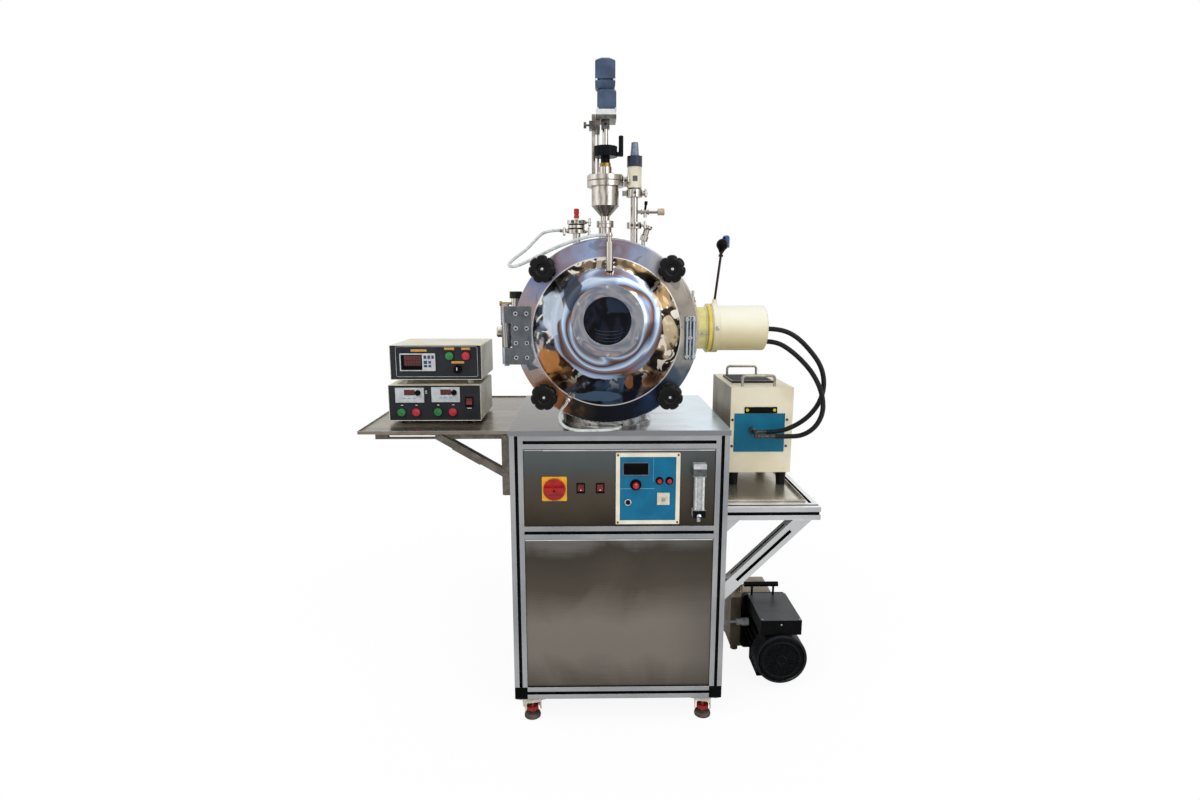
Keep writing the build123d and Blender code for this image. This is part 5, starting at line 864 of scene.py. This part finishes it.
# All the dish's tones below are painted reflections: bands by the turn on the flange, swirls
# inside, dark and light panes outside, glints and dark streaks.
flange = ramp(turn + (soft - 0.5) * 0.1,
              "0 b4c1d2  0.06 8c8f96  0.1 a0704a  0.15 8a5a3a  0.19 2b2724  0.24 17191d  "
              "0.31 1a1e27  0.36 26324a  0.42 4d5866  0.48 b5ad9f  0.56 918b82  0.62 bdb4a6  "
              "0.68 8c96b0  0.73 82727a  0.78 8f9fc0  0.84 86737a  0.9 7885a8  0.95 a58f88  "
              "1 b4c1d2")
high = band(z, -0.14, -0.02)
flange = blend(band(fine, 0.6, 0.72) * high * 0.4, flange, "e3e6ea")
flange = blend(band(glint, 0.62, 0.66) * high * 0.35, flange, "4a4644")
inner = ramp((near - 0.09) * 9 + (swirl - 0.5) * 1.7 + (fine - 0.5) * 0.16 + 0.14,
             "0 6d6a70  0.1 97a3b4  0.18 c3cfdd  0.26 7d90ad  0.33 6e534a  0.4 4c3932  "
             "0.46 7789a6  0.52 9fb3cf  0.6 cfdae6  0.66 6f84a4  0.73 7d5f55  0.79 52413b  "
             "0.85 8a9dba  0.93 aebfd6  1 4f5868")
dark = ramp(turn + (soft - 0.5) * 0.08,
            "0 3f4854  0.08 573a24  0.15 221c19  0.24 10131a  0.33 14161f  0.42 211d1a  "
            "0.5 3a3026  0.6 2b251f  0.75 191715  0.88 262422  1 3f4854")
light = ramp(turn + (soft - 0.5) * 0.1,
             "0 aebbca  0.07 c58d55  0.13 6d4c30  0.18 2b3442  0.3 38485c  0.38 7d654c  "
             "0.45 b39b7a  0.53 cbb894  0.62 ad8f62  0.75 937b58  0.85 8f8478  0.93 9fa9b5  "
             "1 aebbca")
outer = blend(band(broken, 0.44, 0.58), dark, light)
outer = blend(band(glint, 0.56, 0.585) * band(z, -0.17, -0.05) * 0.85, outer, "efe7d8")
outer = blend(band(0.45 - glint, 0.02, 0.05) * 0.7, outer, "141211")
dish = blend(band(near + (soft - 0.5) * 0.016, 0.151, 0.1545), inner, outer)
# Painted broad reflections: middle and half sizes in millimetres from the dish's middle.
for right, up, wide, tall, tone, share in (
        (-150, 60, 30, 62, "c3d0df", 0.75), (-92, 112, 26, 52, "37414d", 0.9),
        (-158, -78, 34, 40, "b87d48", 0.85), (-30, -178, 78, 17, "44586b", 0.9),
        (64, -140, 15, 26, "7f5537", 0.8), (118, -134, 24, 18, "966b48", 0.75),
        (172, 20, 22, 48, "c7b594", 0.8), (150, 100, 30, 34, "a3855a", 0.7),
        (0, 186, 70, 13, "5d5145", 0.6), (62, 100, 22, 16, "f0d9b8", 0.7)):
    far = ((x - right / 1000) / (wide / 1000)) ** 2 + ((z - up / 1000) / (tall / 1000)) ** 2
    dish = blend(band(1 - far + (broken - 0.5) * 2.4, 0.0, 0.25) * share, dish, tone)
mirror = blend(band(away, DISH_EDGE - 0.001, DISH_EDGE + 0.001), dish, flange)
# A thin rim at the dish's edge is painted near white as a highlight.
rim = band(away, DISH_EDGE - 0.002, DISH_EDGE) * band(0 - away, -DISH_EDGE - 0.003,
                                                      -DISH_EDGE - 0.001)
mirror = blend(rim * 0.7, mirror, "e9e7e3")
# Rounded edges are painted lighter as a highlight.
normal = door_steel.rounded(0.0018)
door_steel.set(Base_Color=blend(door_steel.edges(normal) * 0.8, mirror, "f2f2f1"),
               Roughness=soft * 0.06 + fine * 0.05 + band(near, 0.12, 0.17) * 0.16 + 0.07,
               Normal=door_steel.relief(swirl, 0.0002, normal))

# The window ring's tones in rings round the glass are painted reflections.
window_ring = Finish("window ring", metal=0.85)
clouds = rings(window_ring, GLASS, 0.04, 5, 2.0, 0.6)
tone = window_ring.ramp(clouds, "0.34 747a85  0.45 97959a  0.54 6b7484  0.63 a3918d  0.72 808794")
window_ring.close(tone, clouds, 0.14, 0.2, 0.00003, 0.0012, "f0eeec")
glass_dark = Finish("sight glass", shine=0.12)
clouds = glass_dark.noise(0.035, 2.0, (1, 1, 1.5), 1.2)
tone = glass_dark.ramp(clouds, "0.35 040507  0.52 0b0f18  0.62 141d2c  0.72 2b1a17")
lean = (clouds - 0.5) * 0.02
# A lighter pane at the upper right of the glass is a painted reflection.
painted_reflection_pane = (glass_dark.band(glass_dark.part(0, (-40, 0, 1310)) + lean, -0.004, 0.0)
        * glass_dark.band(glass_dark.part(2, (-40, 0, 1300)) + lean, 0.0, 0.004))
glass_dark.set(Base_Color=glass_dark.blend(painted_reflection_pane * 0.5, tone, "2e3c52"),
               Roughness=clouds * 0.05 + 0.05)
hinge_satin = coated("hinge plate satin", "65696e 53575b d5d7da", 0.04, 0.34, radius=0.001,
                     metal=0.8)
# Its light and dark bands are painted reflections, its undersides painted shade.
bright_steel = polished(
    "bright steel", "0.06 4a443d  0.16 b9b1a5  0.25 f2efe8  0.34 978d7f  0.43 d8d2c8  "
    "0.52 6f665b  0.6 f7f5f1  0.7 b3aa9c  0.8 5d554c  0.9 d9d3c9", 0.9, wander=0.16)
dress("door_shell", door_steel,
      (bright_steel, within(x=(-44, -20), y=(-90, -43), z=(1408, 1520))),
      (bright_steel, within(x=(-175, -130), y=(-80, -36.5), z=(1020, 1075))),
      (hinge_satin, within(x=(-330, -244), y=(-60, -35.6), z=(1140, 1330))),
      (bolt_steel, within(x=(-330, -244), y=(-60, -47.2), z=(1140, 1330))))
dress("door_window", window_ring, (glass_dark, solids(y=(-116, -112))),
      (bolt_steel, lambda f: f.size[:, 0] < 20))

# A clamp bar with two rods and capped bolts is screwed to the ring's free side.
# Its light and dark bands are painted reflections, its undersides painted shade.
clamp_steel = polished("clamp steel", "0.1 2f3338  0.28 7b8794  0.4 c8d3dd  0.5 5a646f  "
                       "0.6 e8edf1  0.72 8b949d  0.86 3f444a", 0.85, 0.3, 0.012, 0.12)
piece("door_side_clamp", "door", "door_shell",
      (clamp_steel, raised((178, 208), (1168, 1290), 4, (0, -34.5), (0, -40), (1.5, -42)),
       *(turned(((0, 0), (thick, 0), (thick, 118), (0, 118)), (x, -46, 1170), UP, 20)
         for x, thick in ((184, 4.2), (193, 3.2), (203, 4.6)))),
      (bolt_steel, *several(
          ((0, 40), (6.4, 40), (6.4, 50), (5.4, 51.4), (2, 51.6), (0, 51.4)),
          ((184, 0, 1178), (203, 0, 1178), (184, 0, 1281), (203, 0, 1281), (193, 0, 1230)),
          around=20)))
SOCKETS = [(x, -47, z) for x in (-292, -262) for z in (1176, 1216.7, 1257.3, 1298)]
piece("hinge_socket_screws", "door", "door_shell",
      (bolt_steel, *several(((3.4, 5.9), (6.3, 5.9), (6.3, 6.4), (5.8, 6.9), (3.6, 6.9),
                             (3.4, 6.4), (3.4, 5.9)), SOCKETS, around=20)),
      # Near-black hexagons at the bottom of the sockets are painted shade in the recesses.
      (seal_black, *several(((0, 6.02), (3.42, 6.02), (3.42, 6.2), (0, 6.2)), SOCKETS,
                            around=6)))

# The coil's turns show as dark rings behind the lower half of the glass.
coil_dark = coated("coil seen dimly", "34404f 252e3b", 0.02, 0.25, radius=0.001, shine=0.3)


def half_hoop(x, z, wide, tall, y, thick):
    """The lower half of a flattened ring seen from the front: a circle of this thickness, carried
    along an ellipse of these half widths and drawn in to both ends by a sine to the 0.3."""
    run = np.linspace(pi, tau, 36)[:, None, None]
    turn = np.linspace(0, tau, 8, endpoint=False)[None, :, None]
    middle = np.concatenate((x + wide * np.cos(run), y + 0 * run, z + tall * np.sin(run)), -1)
    ring = np.concatenate((np.cos(turn) * np.cos(run), np.sin(turn) + 0 * run,
                           np.cos(turn) * np.sin(run)), -1)
    taper = np.sin(np.linspace(0.02, pi - 0.02, 36))[:, None, None] ** 0.3
    return skin(middle + ring * thick * taper)


piece("coil_in_glass", "door", "door_window", (coil_dark, *(
    half_hoop(-36, 1262 - 9 * k, 38 - 2 * k, 9, -120.4, 1.1) for k in range(4))))

# Four hand screws with black glossy star grips clamp the door: seven round lobes
# with narrow notches, a dished face and the steel stud's end in the middle.
knob_black = coated("star grip black", "030304 08080a 24252c", 0.012, 0.14, vary=0.08,
                    radius=0.0012, coat=0.08, shine=0.16)
LOBES, NOTCH_SHARE = 7, 0.15
# Each row of a grip: its radius, its place along the depth axis and how lobed it is.
GRIP_ROWS = np.array(((0, -68, 0), (30, -68, 0.3), (35, -70.5, 0.8), (37.6, -76, 1),
                      (38, -83, 1), (37, -90, 1), (34, -94.8, 0.9), (29, -97.2, 0.6),
                      (22, -98, 0.15), (15.5, -97.4, 0), (13.4, -95.6, 0), (12.4, -92.8, 0),
                      (6.6, -92.2, 0), (0, -92.2, 0)))


def star_grip(x, _, z):
    """A turned grip whose radius falls in each notch: times 1 less NOTCH_SHARE of the notch,
    which is one less the cosine's size to the power 0.4, where the row is lobed."""
    radius, depth, lobed = GRIP_ROWS.T[:, :, None]
    turn = np.linspace(0, tau, LOBES * 14, endpoint=False)
    notch = 1 - np.abs(np.cos(LOBES / 2 * turn)) ** 0.4
    wide = radius * (1 - NOTCH_SHARE * lobed * notch)
    return skin(np.stack((x + wide * np.sin(turn), depth + 0 * wide, z + wide * np.cos(turn)), -1))


KNOBS = [(-40 + side * 174, 0, 1244 + end * 174) for side in (1, -1) for end in (1, -1)]
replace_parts(piece(
    "star_knobs_black", "door", "star_knobs",
    (knob_black, *(star_grip(*spot) for spot in KNOBS),
     *several(((0, 53), (11, 53), (15, 54), (16, 56), (16, 68.5), (0, 68.5)), KNOBS)),
    (bolt_steel, *several(((0, 16.5), (6, 17), (6, 34), (11, 34.5), (12, 35.5), (12, 38),
                           (11, 39), (7, 39.5), (7, 53.5), (0, 53.5)), KNOBS)),
    (chrome_ring, *several(((0, 91), (4.4, 91), (4.4, 95.4), (3.6, 96.6), (1.2, 96.8), (0.9, 96),
                            (0, 95.9)), KNOBS, around=24)), flat=50), "star_knobs")

# ---------------------------------------------------------------- crucible and coil
# A graphite crucible in a copper coil, seen only with the door open.
graphite = coated("graphite", "1c1c1e 2b2b2e 4a4a4e", 0.01, 0.55)
copper = coated("coil copper", "b8734a 8f5636 dba27c", 0.02, 0.3, metal=0.9)
dress("crucible", graphite)
dress("melting_coil", copper, (graphite, lambda f: f.high[:, 2] < 1205))

# ---------------------------------------------------------------- side ports
# Flanged ports at the chamber's sides: chain and gauge on the left, the clamped
# feed cover with its yellow plastic collar on the right, and the pouring lever.
brass = coated("brass", "a98a4e 7d6233 e3cd95", 0.01, 0.24, metal=0.9)
chain_dark = coated("chain", "4a4744 24221f 8c8883", 0.003, 0.35, metal=0.8)
ridged_dark = coated("ridged dark cap", "35342f 201f1c 77756e", 0.004, 0.35, metal=0.6)
collar_yellow = coated("yellow collar", "e9e0a0 ddd07f f8f3cf", 0.03, 0.3, radius=0.002,
                       coat=0.3)
flange_yellow = coated("yellow flange", "e6cf5c d9bd45 f3e7a0", 0.03, 0.3, radius=0.002,
                       coat=0.2)
lever_brown = coated("lever rod", "3a2c26 281d18 7b675b", 0.012, 0.32, metal=0.6)
cap_blue = coated("blue cap", "1c559c 174684 5f93cf", 0.006, 0.3, coat=0.3)
cover_cream = Finish("feed cover cream")
clouds = cover_cream.noise(0.06, 3.0)
# Painted light: its tone is lighter on faces that look up.
cover_cream.set(
    Base_Color=cover_cream.ramp(cover_cream.looks(2) * 0.5 + clouds * 0.2 + 0.4,
                                "0.1 cdbd8c  0.4 dccfa8  0.6 ebe4c8  0.85 f5f2e2"),
    Roughness=clouds * 0.16 + 0.34,
    Normal=cover_cream.relief(cover_cream.noise(0.001, 2.0), 0.00001, cover_cream.rounded(0.003)))
dress("side_ports", bright_steel, (chain_dark, solids(x=(-361, -355), z=(1250, 1312))),
      (ridged_dark, within(x=(-333, -291), z=(1334.7, 1357))),
      (brass, within(x=(-366, -327), z=(1310, 1328))),
      (collar_yellow,
       lambda f: f.solids(x=(190.5, 191.5)) | f.within(x=(233, 282), z=(1170, 1320))))
dress("push_rod", bright_steel)
dress("feed_cover", cover_cream, (black_plastic, lambda f: f.low[:, 0] > 447))
dress("tilt_lever", lever_brown, (cap_blue, solids(z=(1495, 1512))),
      (cover_cream, within(x=(283, 303), z=(1150, 1331))),
      (chrome_ring, within(z=(1331.2, 1341))),
      (black_plastic,
       lambda f: f.within(z=(1475, 1485)) | f.within(z=(1475, 1514), x=(280, 324))))
RIGHT, PORT = (1, 0, 0), (0, 155, 1244)
piece("feed_sleeve", "cabinet", "side_ports",
      (flange_yellow, turned(((66, 268), (73.5, 268.4), (75, 270), (75, 276), (74, 279),
                              (66, 280), (66, 268)), PORT, RIGHT, 64)),
      (bolt_steel, turned(((0, 232), (3.6, 232), (3.6, 246), (2.2, 247), (2.2, 267), (0, 267)),
                          (0, 84, 1233), RIGHT, 18)),
      (collar_yellow, turned(((57, 234), (66, 234), (67.5, 235.5), (67.5, 239), (64.5, 241),
                              (64.5, 262), (67.5, 264), (67.5, 267.5), (57, 267.8), (57, 234)),
                             PORT, RIGHT, 64)))
piece("feed_cover_screws", "tilt_unit", "feed_cover", (bolt_steel, *(turned(
    ((0, 74), (5.6, 74), (5.6, 77), (4.6, 78.6), (2, 79), (1.7, 77.9), (0, 77.9)),
    (293, 155, 1244), (0, cos(a), sin(a)), 18) for a in (pi - 0.05, pi + 2.1, 1.2))))

# ---------------------------------------------------------------- doser and stirrer
# On the chamber's neck: a polished hopper, a double flange, a notched handwheel
# and, on a rail, the geared motor that turns and lifts the stirring rod.
motor_blue = coated("motor blue", "4c5c73 3c4a60 7086a6", 0.04, 0.34, radius=0.001, shine=0.25)
plate_white = coated("white plate", "e6e8e9 d3d6d8", 0.02, 0.32)
bracket_dark = coated("dark bracket", "6e6b67 4d4a46 c9c5bf", 0.015, 0.3, metal=0.75)
wheel_black = coated("handwheel black", "0a0c10 14171c 474d59", 0.01, 0.3, radius=0.0012,
                     shine=0.1)
blue_dark = coated("dark blue collar", "1d2740 161e33 4a5c80", 0.01, 0.32)
cap_grey = coated("grey blue cap", "7c8698 646e80 b3bccb", 0.006, 0.3, metal=0.3)
dress("doser_vessel", bright_steel,
      (brass, within(z=(1716.5, 1728.5), x=(-60, -20), y=(130, 180))))
dress("doser_handwheel", wheel_black)
dress("stirrer_shaft", bright_steel)
dress("top_fittings", bright_steel, (cream, within(x=(24, 68.5), z=(1657.5, 1717.5))),
      (blue_dark, within(x=(20, 72), z=(1718, 1748.5))),
      (cap_grey, within(x=(20, 72), z=(1748.6, 1790))))
dress("left_valve_handle", button_red)
dress("right_valve_knob", coated("tan knob", "c9b79a ab9674 e9dcc6", 0.006, 0.4))
piece("gauge_window", "cabinet", "top_fittings",
      (block_dark, raised((40, 54), (1676, 1691), 1.5, (0, 137), (0, 133.4), (0.8, 132.8))),
      (cream, turned(((21.3, 0), (21.9, 0.6), (21.9, 4.4), (21.3, 5), (21.3, 0)),
                     (46.5, 155, 1657.6), UP, 48)))
CHAMFER_STEPS = 2


def post(x, y, *rows):
    """A square post with cut corners round x, y: rows of (height, width, corner)."""
    return shut(levels((x, y), [(wide, wide, cut, z) for z, wide, cut in rows], CHAMFER_STEPS))


def cad_part(node, test):
    """The chosen faces of a node, its loose triangles merged where their corners meet."""
    faces = Faces(node)
    joined, same = np.unique(np.round(faces.spots, 3), axis=0, return_inverse=True)
    used, kept = np.unique(same.ravel()[faces.corners[test(faces)]], return_inverse=True)
    return joined[used], kept.reshape(-1, 3)


def motor_rod(f):
    """The bright rod that sticks out of the bracket, left of the shaft."""
    return f.solids(z=(1833, 1838), x=(-70, -30)) & (f.high[:, 0] < -20)


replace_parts(piece(
    "motor_unit", "stirrer_carriage", "stirrer_motor",
    (bracket_dark, cad_part("stirrer_motor", lambda f: (f.low[:, 2] < 1856) & ~motor_rod(f))),
    (bright_steel, cad_part("stirrer_motor", motor_rod)),
    (seal_black, turned(((0, 0), (3.8, 0), (3.8, 0.3), (0, 0.3)), (-40, 143.2, 1836), around=20)),
    (plate_white, raised((-68, -11), (127, 183), 3, (0, 1859), (0, 1873.4), (0.6, 1874),
                         up=True)),
    (motor_blue,
     post(-36.5, 155.5, (1874, 55, 5), (1876, 55, 5), (1876.4, 53.6, 5), (1878, 53.6, 5),
          (1878.4, 55, 5), (1919, 55, 6), (1919.4, 54, 6), (1920.6, 54, 6), (1921, 55, 6),
          (1926, 53, 9), (1931, 45, 9)),
     post(-41, 155, (1931, 48, 7), (1936, 56, 8), (1943, 58, 6), (1943.5, 56.6, 6),
          (1945, 56.6, 6), (1945.5, 58, 6), (1951, 58, 6), (1951.4, 50, 9), (1956, 50, 9),
          (1956.4, 58, 9), (2003, 58, 9), (2003.5, 57, 9), (2004.6, 57, 9), (2005, 58, 9),
          (2009, 54, 11), (2013, 44, 12))),
    (plate_white,
     *several(((0, 1951), (3.2, 1951), (3.2, 1955), (2.4, 1956.2), (0, 1956.3)),
              [(x, y, 0) for x in (-66.4, -15.6) for y in (129.6, 180.4)], UP, 16),
     *several(((0, 1874), (2.6, 1874), (2.6, 1877), (1.8, 1878), (0, 1878.1)),
              [(x, y, 0) for x in (-62.2, -10.8) for y in (129.8, 181.2)], UP, 16))),
    "stirrer_motor")


def wing_nut(x, y, z, way=1):
    """A stud that sticks out to one side with a rounded bar across its end."""
    return (turned(((0, 0), (4.6, 0), (4.6, 5), (2.4, 5.5), (2.4, 17), (0, 17)), (x, y, z),
                   (way, 0, 0), 16),
            turned(((0, -13), (2.6, -12.4), (4.2, -10), (3.4, -4), (3.8, 0), (3.4, 4), (4.2, 10),
                    (2.6, 12.4), (0, 13)), (x + way * 12, y, z), (0, 0.3, 1), 14))


# Chain clamps with wing nuts and hinge nuts, and the small valve's body.
NUT_ROWS = ((0, 0), (4.6, 0), (4.6, 3.4), (3.91, 4), (2.3, 4), (2.3, 5.4), (0, 5.4))
piece("clamp_screws", "cabinet", "top_fittings",
      (bright_steel, *wing_nut(66, 144, 1550), *wing_nut(-101, 146, 1532),
       *wing_nut(-151, 146, 1532, -1), *wing_nut(68, 146, 1643), *wing_nut(-99, 148, 1559),
       turned(((24, 1477), (27.5, 1478), (28.5, 1484), (27.5, 1490), (24, 1491), (24, 1477)),
              (46.5, 155, 0), UP, 48),
       turned(((24, 0), (26, 1), (26, 9), (24, 10), (22, 9), (22, 1), (24, 0)),
              (-126, 155, 1541), UP, 40)),
      (bracket_dark, *several(NUT_ROWS, (
          (38, 132.6, 1550), (55, 132.6, 1550), (-138, 128, 1559.5), (-114, 128, 1559.5),
          (-126, 126.6, 1532), (46.5, 131, 1643)), around=6)),
      (bright_steel,
       turned(((0, 0), (8.4, 0), (8.4, 3), (6.2, 4), (6.2, 20), (8.4, 21), (8.4, 25), (0, 25)),
              (66, 155, 1590), RIGHT, 28),
       turned(((0, -16), (5, -16), (5, 0), (0, 0)), (79, 155, 1590), UP, 20)),
      (black_plastic, turned(((0, 0), (3.4, 0), (3.4, 15), (5, 16), (5, 24), (4, 26), (0, 26)),
                             (79, 155, 1595), (0.12, 0, 1), 20)))
piece("hopper_clamp_screws", "cabinet", "doser_vessel",
      (bright_steel, *wing_nut(-14, 138, 1489), *wing_nut(16, 139, 1683)),
      (bracket_dark, *several(NUT_ROWS, ((-52, 128.6, 1489), (-28, 128.6, 1489)), around=6)))

# ---------------------------------------------------------------- side shelf
# A bracketed shelf of the same profile on the cabinet's right, with 45 degree
# braces, gussets and a sheet metal plate.
shelf_sheet = Finish("shelf plate", metal=0.8)
clouds = shelf_sheet.noise(0.1, 4.0, (1, 1.8, 1), 0.6)
shelf_sheet.close(shelf_sheet.ramp(clouds, "0.3 a39d92  0.5 bab4a9  0.68 d3cec4"), clouds,
                  0.14, 0.16, 0.00004, 0.001)
# The rails' top faces are painted near white as a highlight.
rail_top_painted_highlight = coated("shelf rail top", "f7f8f8 eceeee fdfdfd", 0.2, 0.3, grain=0.0012,
                     radius=0.0018, metal=0.5)
shelf_profile = coated("shelf profile", "d2d3d3 b4b6b8 fbfcfc", 0.3, 0.28, vary=0.1,
                       grain=0.0012, radius=0.0018, metal=0.8)


def end_bars(f, low, high):
    """Faces in the front and the back frames of the shelf, between these heights."""
    return f.within(y=(1, 39), z=(low, high)) | f.within(y=(571, 609), z=(low, high))


dress("side_shelf", shelf_profile,
      (slot_dark, lambda f: f.within(x=(567, 605), y=(41, 569), z=(679, 717))
       | end_bars(f, 679, 717) | (f.across(438.5, 564.5, 19) & end_bars(f, 380, 677))),
      (rail_top_painted_highlight, lambda f: f.within(z=(717.8, 718.2)) & f.facing(z=1)),
      (shelf_sheet, lambda f: f.low[:, 2] > 717))

# ---------------------------------------------------------------- generator
# The induction generator: a beige folded case with a brownish left side, a teal
# control face, two satin handles and a black vented plate on top.
beige = coated("generator beige", "f4ebd0 eadfbf eee6cf", 0.12, 0.4, radius=0.0016)
side_brown = coated("generator side", "a59a80 857a60 c6b99a", 0.14, 0.42, radius=0.0012)
champagne = coated("satin handle", "b8b4a8 8d897d f0ede5", 0.02, 0.24, metal=0.85)
vent_black = coated("vent plate", "141416 1f1f22 55565a", 0.03, 0.42, radius=0.0012, shine=0.25)
gland_dark = coated("gland steel", "56504b 3a3632 a79f95", 0.008, 0.28, metal=0.8)
face_teal = coated("generator teal", "11708f 0e6583 4a9db6", 0.08, 0.4, shine=0.25)
lamp_yellow = coated("yellow lamp", "e8c21c d5ad12", 0.004, 0.25, coat=0.3)
dress("generator", beige,
      (side_brown, lambda f: f.solids(y=(300, 400), z=(800, 1000)) & f.facing(x=-1)),
      (face_teal, solids(y=(203, 206), z=(890, 910))),
      (black_plastic, solids(y=(202, 206), z=(970, 982))),
      (foot_rubber, lambda f: f.high[:, 2] < 769),
      (gland_dark, solids(y=(140, 203), z=(890, 925))), (champagne, solids(z=(1060, 1080))),
      (vent_black, solids(z=(1052, 1055))), (screw_dark, lambda f: f.size.max(axis=1) < 10))
piece("generator_vent_grille", "cabinet", "generator",
      (bracket_grey, skin(levels((458, 378), (
          (139, 155, 4, 1055.9), (139, 155, 4, 1057.4), (131, 147, 4, 1057.4),
          (131, 147, 4, 1055.9))), wrap_rows=True)),
      (vent_black, boxes(
          *((394, 522, y, y + 2.6, 1055.9, 1057) for y in np.linspace(308, 448, 26)),
          *((x, x + 2, 306, 450, 1055.9, 1056.9) for x in np.linspace(396, 518, 12)))))
piece("generator_lamps", "cabinet", "generator",
      (lamp_yellow, *several(((0, 0), (5.4, 0), (5.4, 1), (4, 2.4), (0, 3.1)),
                             ((420.5, 202.4, 976), (508.5, 202.4, 976)), around=24)),
      (beige, boxes((366.4, 367.1, 206, 524, 905, 907.5))))

# ---------------------------------------------------------------- vacuum pump
# A rotary vane pump: a beige oil case behind a finned black motor, with a drilled
# fan cover at the front, a black carrying handle and a grey plug.
pump_black = coated("pump black", "050607 0c0d0f 24262a", 0.03, 0.4, radius=0.0014, shine=0.08)
lid_dark = coated("terminal lid", "3c4042 4a4e50 b4b7ba", 0.05, 0.36, radius=0.002, shine=0.25)
pump_beige = coated("oil case beige", "a0947a 857a62 cfc3a6", 0.06, 0.42, radius=0.002)
case_shade = coated("oil case front", "635a48 4c4538 8b8069", 0.05, 0.45, radius=0.002)
gauze_grey = coated("fan cover gauze", "45484d 383b40", 0.006, 0.5, shine=0.2)
plug_grey = coated("plug grey", "b9bcbe 9da1a3 c9cccf", 0.01, 0.42)
rim_black = coated("fan cover rim", "101216 17191d 4b4f57", 0.03, 0.34, radius=0.002, shine=0.15)
dress("pump_body", pump_black,
      (lid_dark, within(x=(490.5, 631.5), y=(185, 392), z=(244, 253.5))),
      (pump_beige, solids(y=(430, 600), z=(100, 140))),
      (case_shade, lambda f: f.solids(y=(430, 600), z=(100, 140)) & f.facing(y=-1)),
      (plug_grey, solids(x=(440, 500), z=(140, 160))), (bright_steel, solids(z=(230, 240))))
dress("pump_fan", black_plastic)
piece("fan_cover_gauze", "cabinet", "pump_body", (gauze_grey, turned(
    ((0, 0), (62, 0), (62, 1.6), (0, 1.6)), (564, 186.5, 113), around=40)))
COVER = (564, 175, 113)
piece("fan_cover_rims", "cabinet", "pump_body", (
    rim_black,
    turned(((62.5, -1), (65.5, -1), (65, 0.6), (64, 1.1), (63, 0.6), (62.5, -1)), COVER,
           around=72),
    turned(((14, -1), (16.5, -1), (16, 0.5), (15.2, 0.8), (14.5, 0.5), (14, -1)), COVER,
           around=48),
    turned(((88.6, -12), (88.9, -11.6), (89, -8), (88, -2.4), (84.5, 0.5), (80, 0.9), (79, 0.2),
            (84, -2), (88.6, -12)), COVER, around=96)))
SCREW_ROWS = ((0, 0), (3.4, 0), (3.4, 1.6), (2.6, 2.4), (0, 2.5))
piece("pump_small_screws", "cabinet", "pump_body",
      (bolt_steel, *several(SCREW_ROWS, [(x, y, 251.5) for y in (192, 384) for x in (497, 625)],
                            UP, 16), turned(SCREW_ROWS, (561, 186.3, 236), around=16)))

# ---------------------------------------------------------------- studio
# A white floor that runs out of sight, soft light from above and the front, and a
# white room all round for the camera and for reflections.
floor_mesh = bpy.data.meshes.new("floor")
floor_mesh.from_pydata([(x, y, -0.0005) for x, y in ((-30, -30), (30, -30), (30, 30), (-30, 30))],
                       [], [(0, 1, 2, 3)])
shown("floor", floor_mesh)
paper = bpy.data.materials.new("studio paper")
paper.use_nodes = True
sheet = Graph(paper.node_tree)
watched = sheet.node("LightPath")
plain = sheet.node("BsdfDiffuse", {}, {"Color": (0.93, 0.93, 0.94, 1)})
glow = sheet.node("Emission", {}, {"Color": (1, 1, 1, 1), "Strength": 1.03})
sheet.end("Material", sheet.node("MixShader", {}, {0: watched * 0.88, 1: plain, 2: glow}))
floor_mesh.materials.append(paper)

# The room is full white to the camera, in mirrors and through glass; else dimmer.
ROOM_LIGHT = 0.45
room = bpy.data.worlds.new("room")
room.use_nodes = True
scene.world = room
walls = Graph(room.node_tree)
camera_ray, glossy_ray, clear_ray = (walls.node("LightPath", output=k) for k in (0, 3, 6))
seen = camera_ray + glossy_ray + clear_ray
seen = walls.node("Math", {"operation": "MINIMUM"}, {0: seen, 1: 1.0})
walls.end("World", walls.node("Background", {}, {
    "Color": (1, 1, 1, 1), "Strength": seen * (1 - ROOM_LIGHT) + ROOM_LIGHT}))
for name, tilt, heading, strength in (("key", 42, -28, 1.3), ("fill", 60, 40, 0.7)):
    lamp = shown(name, bpy.data.lights.new(name, "SUN"))
    lamp.data.energy = strength
    lamp.data.angle = radians(50)
    lamp.visible_glossy = name == "fill"
    lamp.rotation_euler = (radians(tilt), 0, radians(heading))
scene.view_settings.view_transform = "Standard"
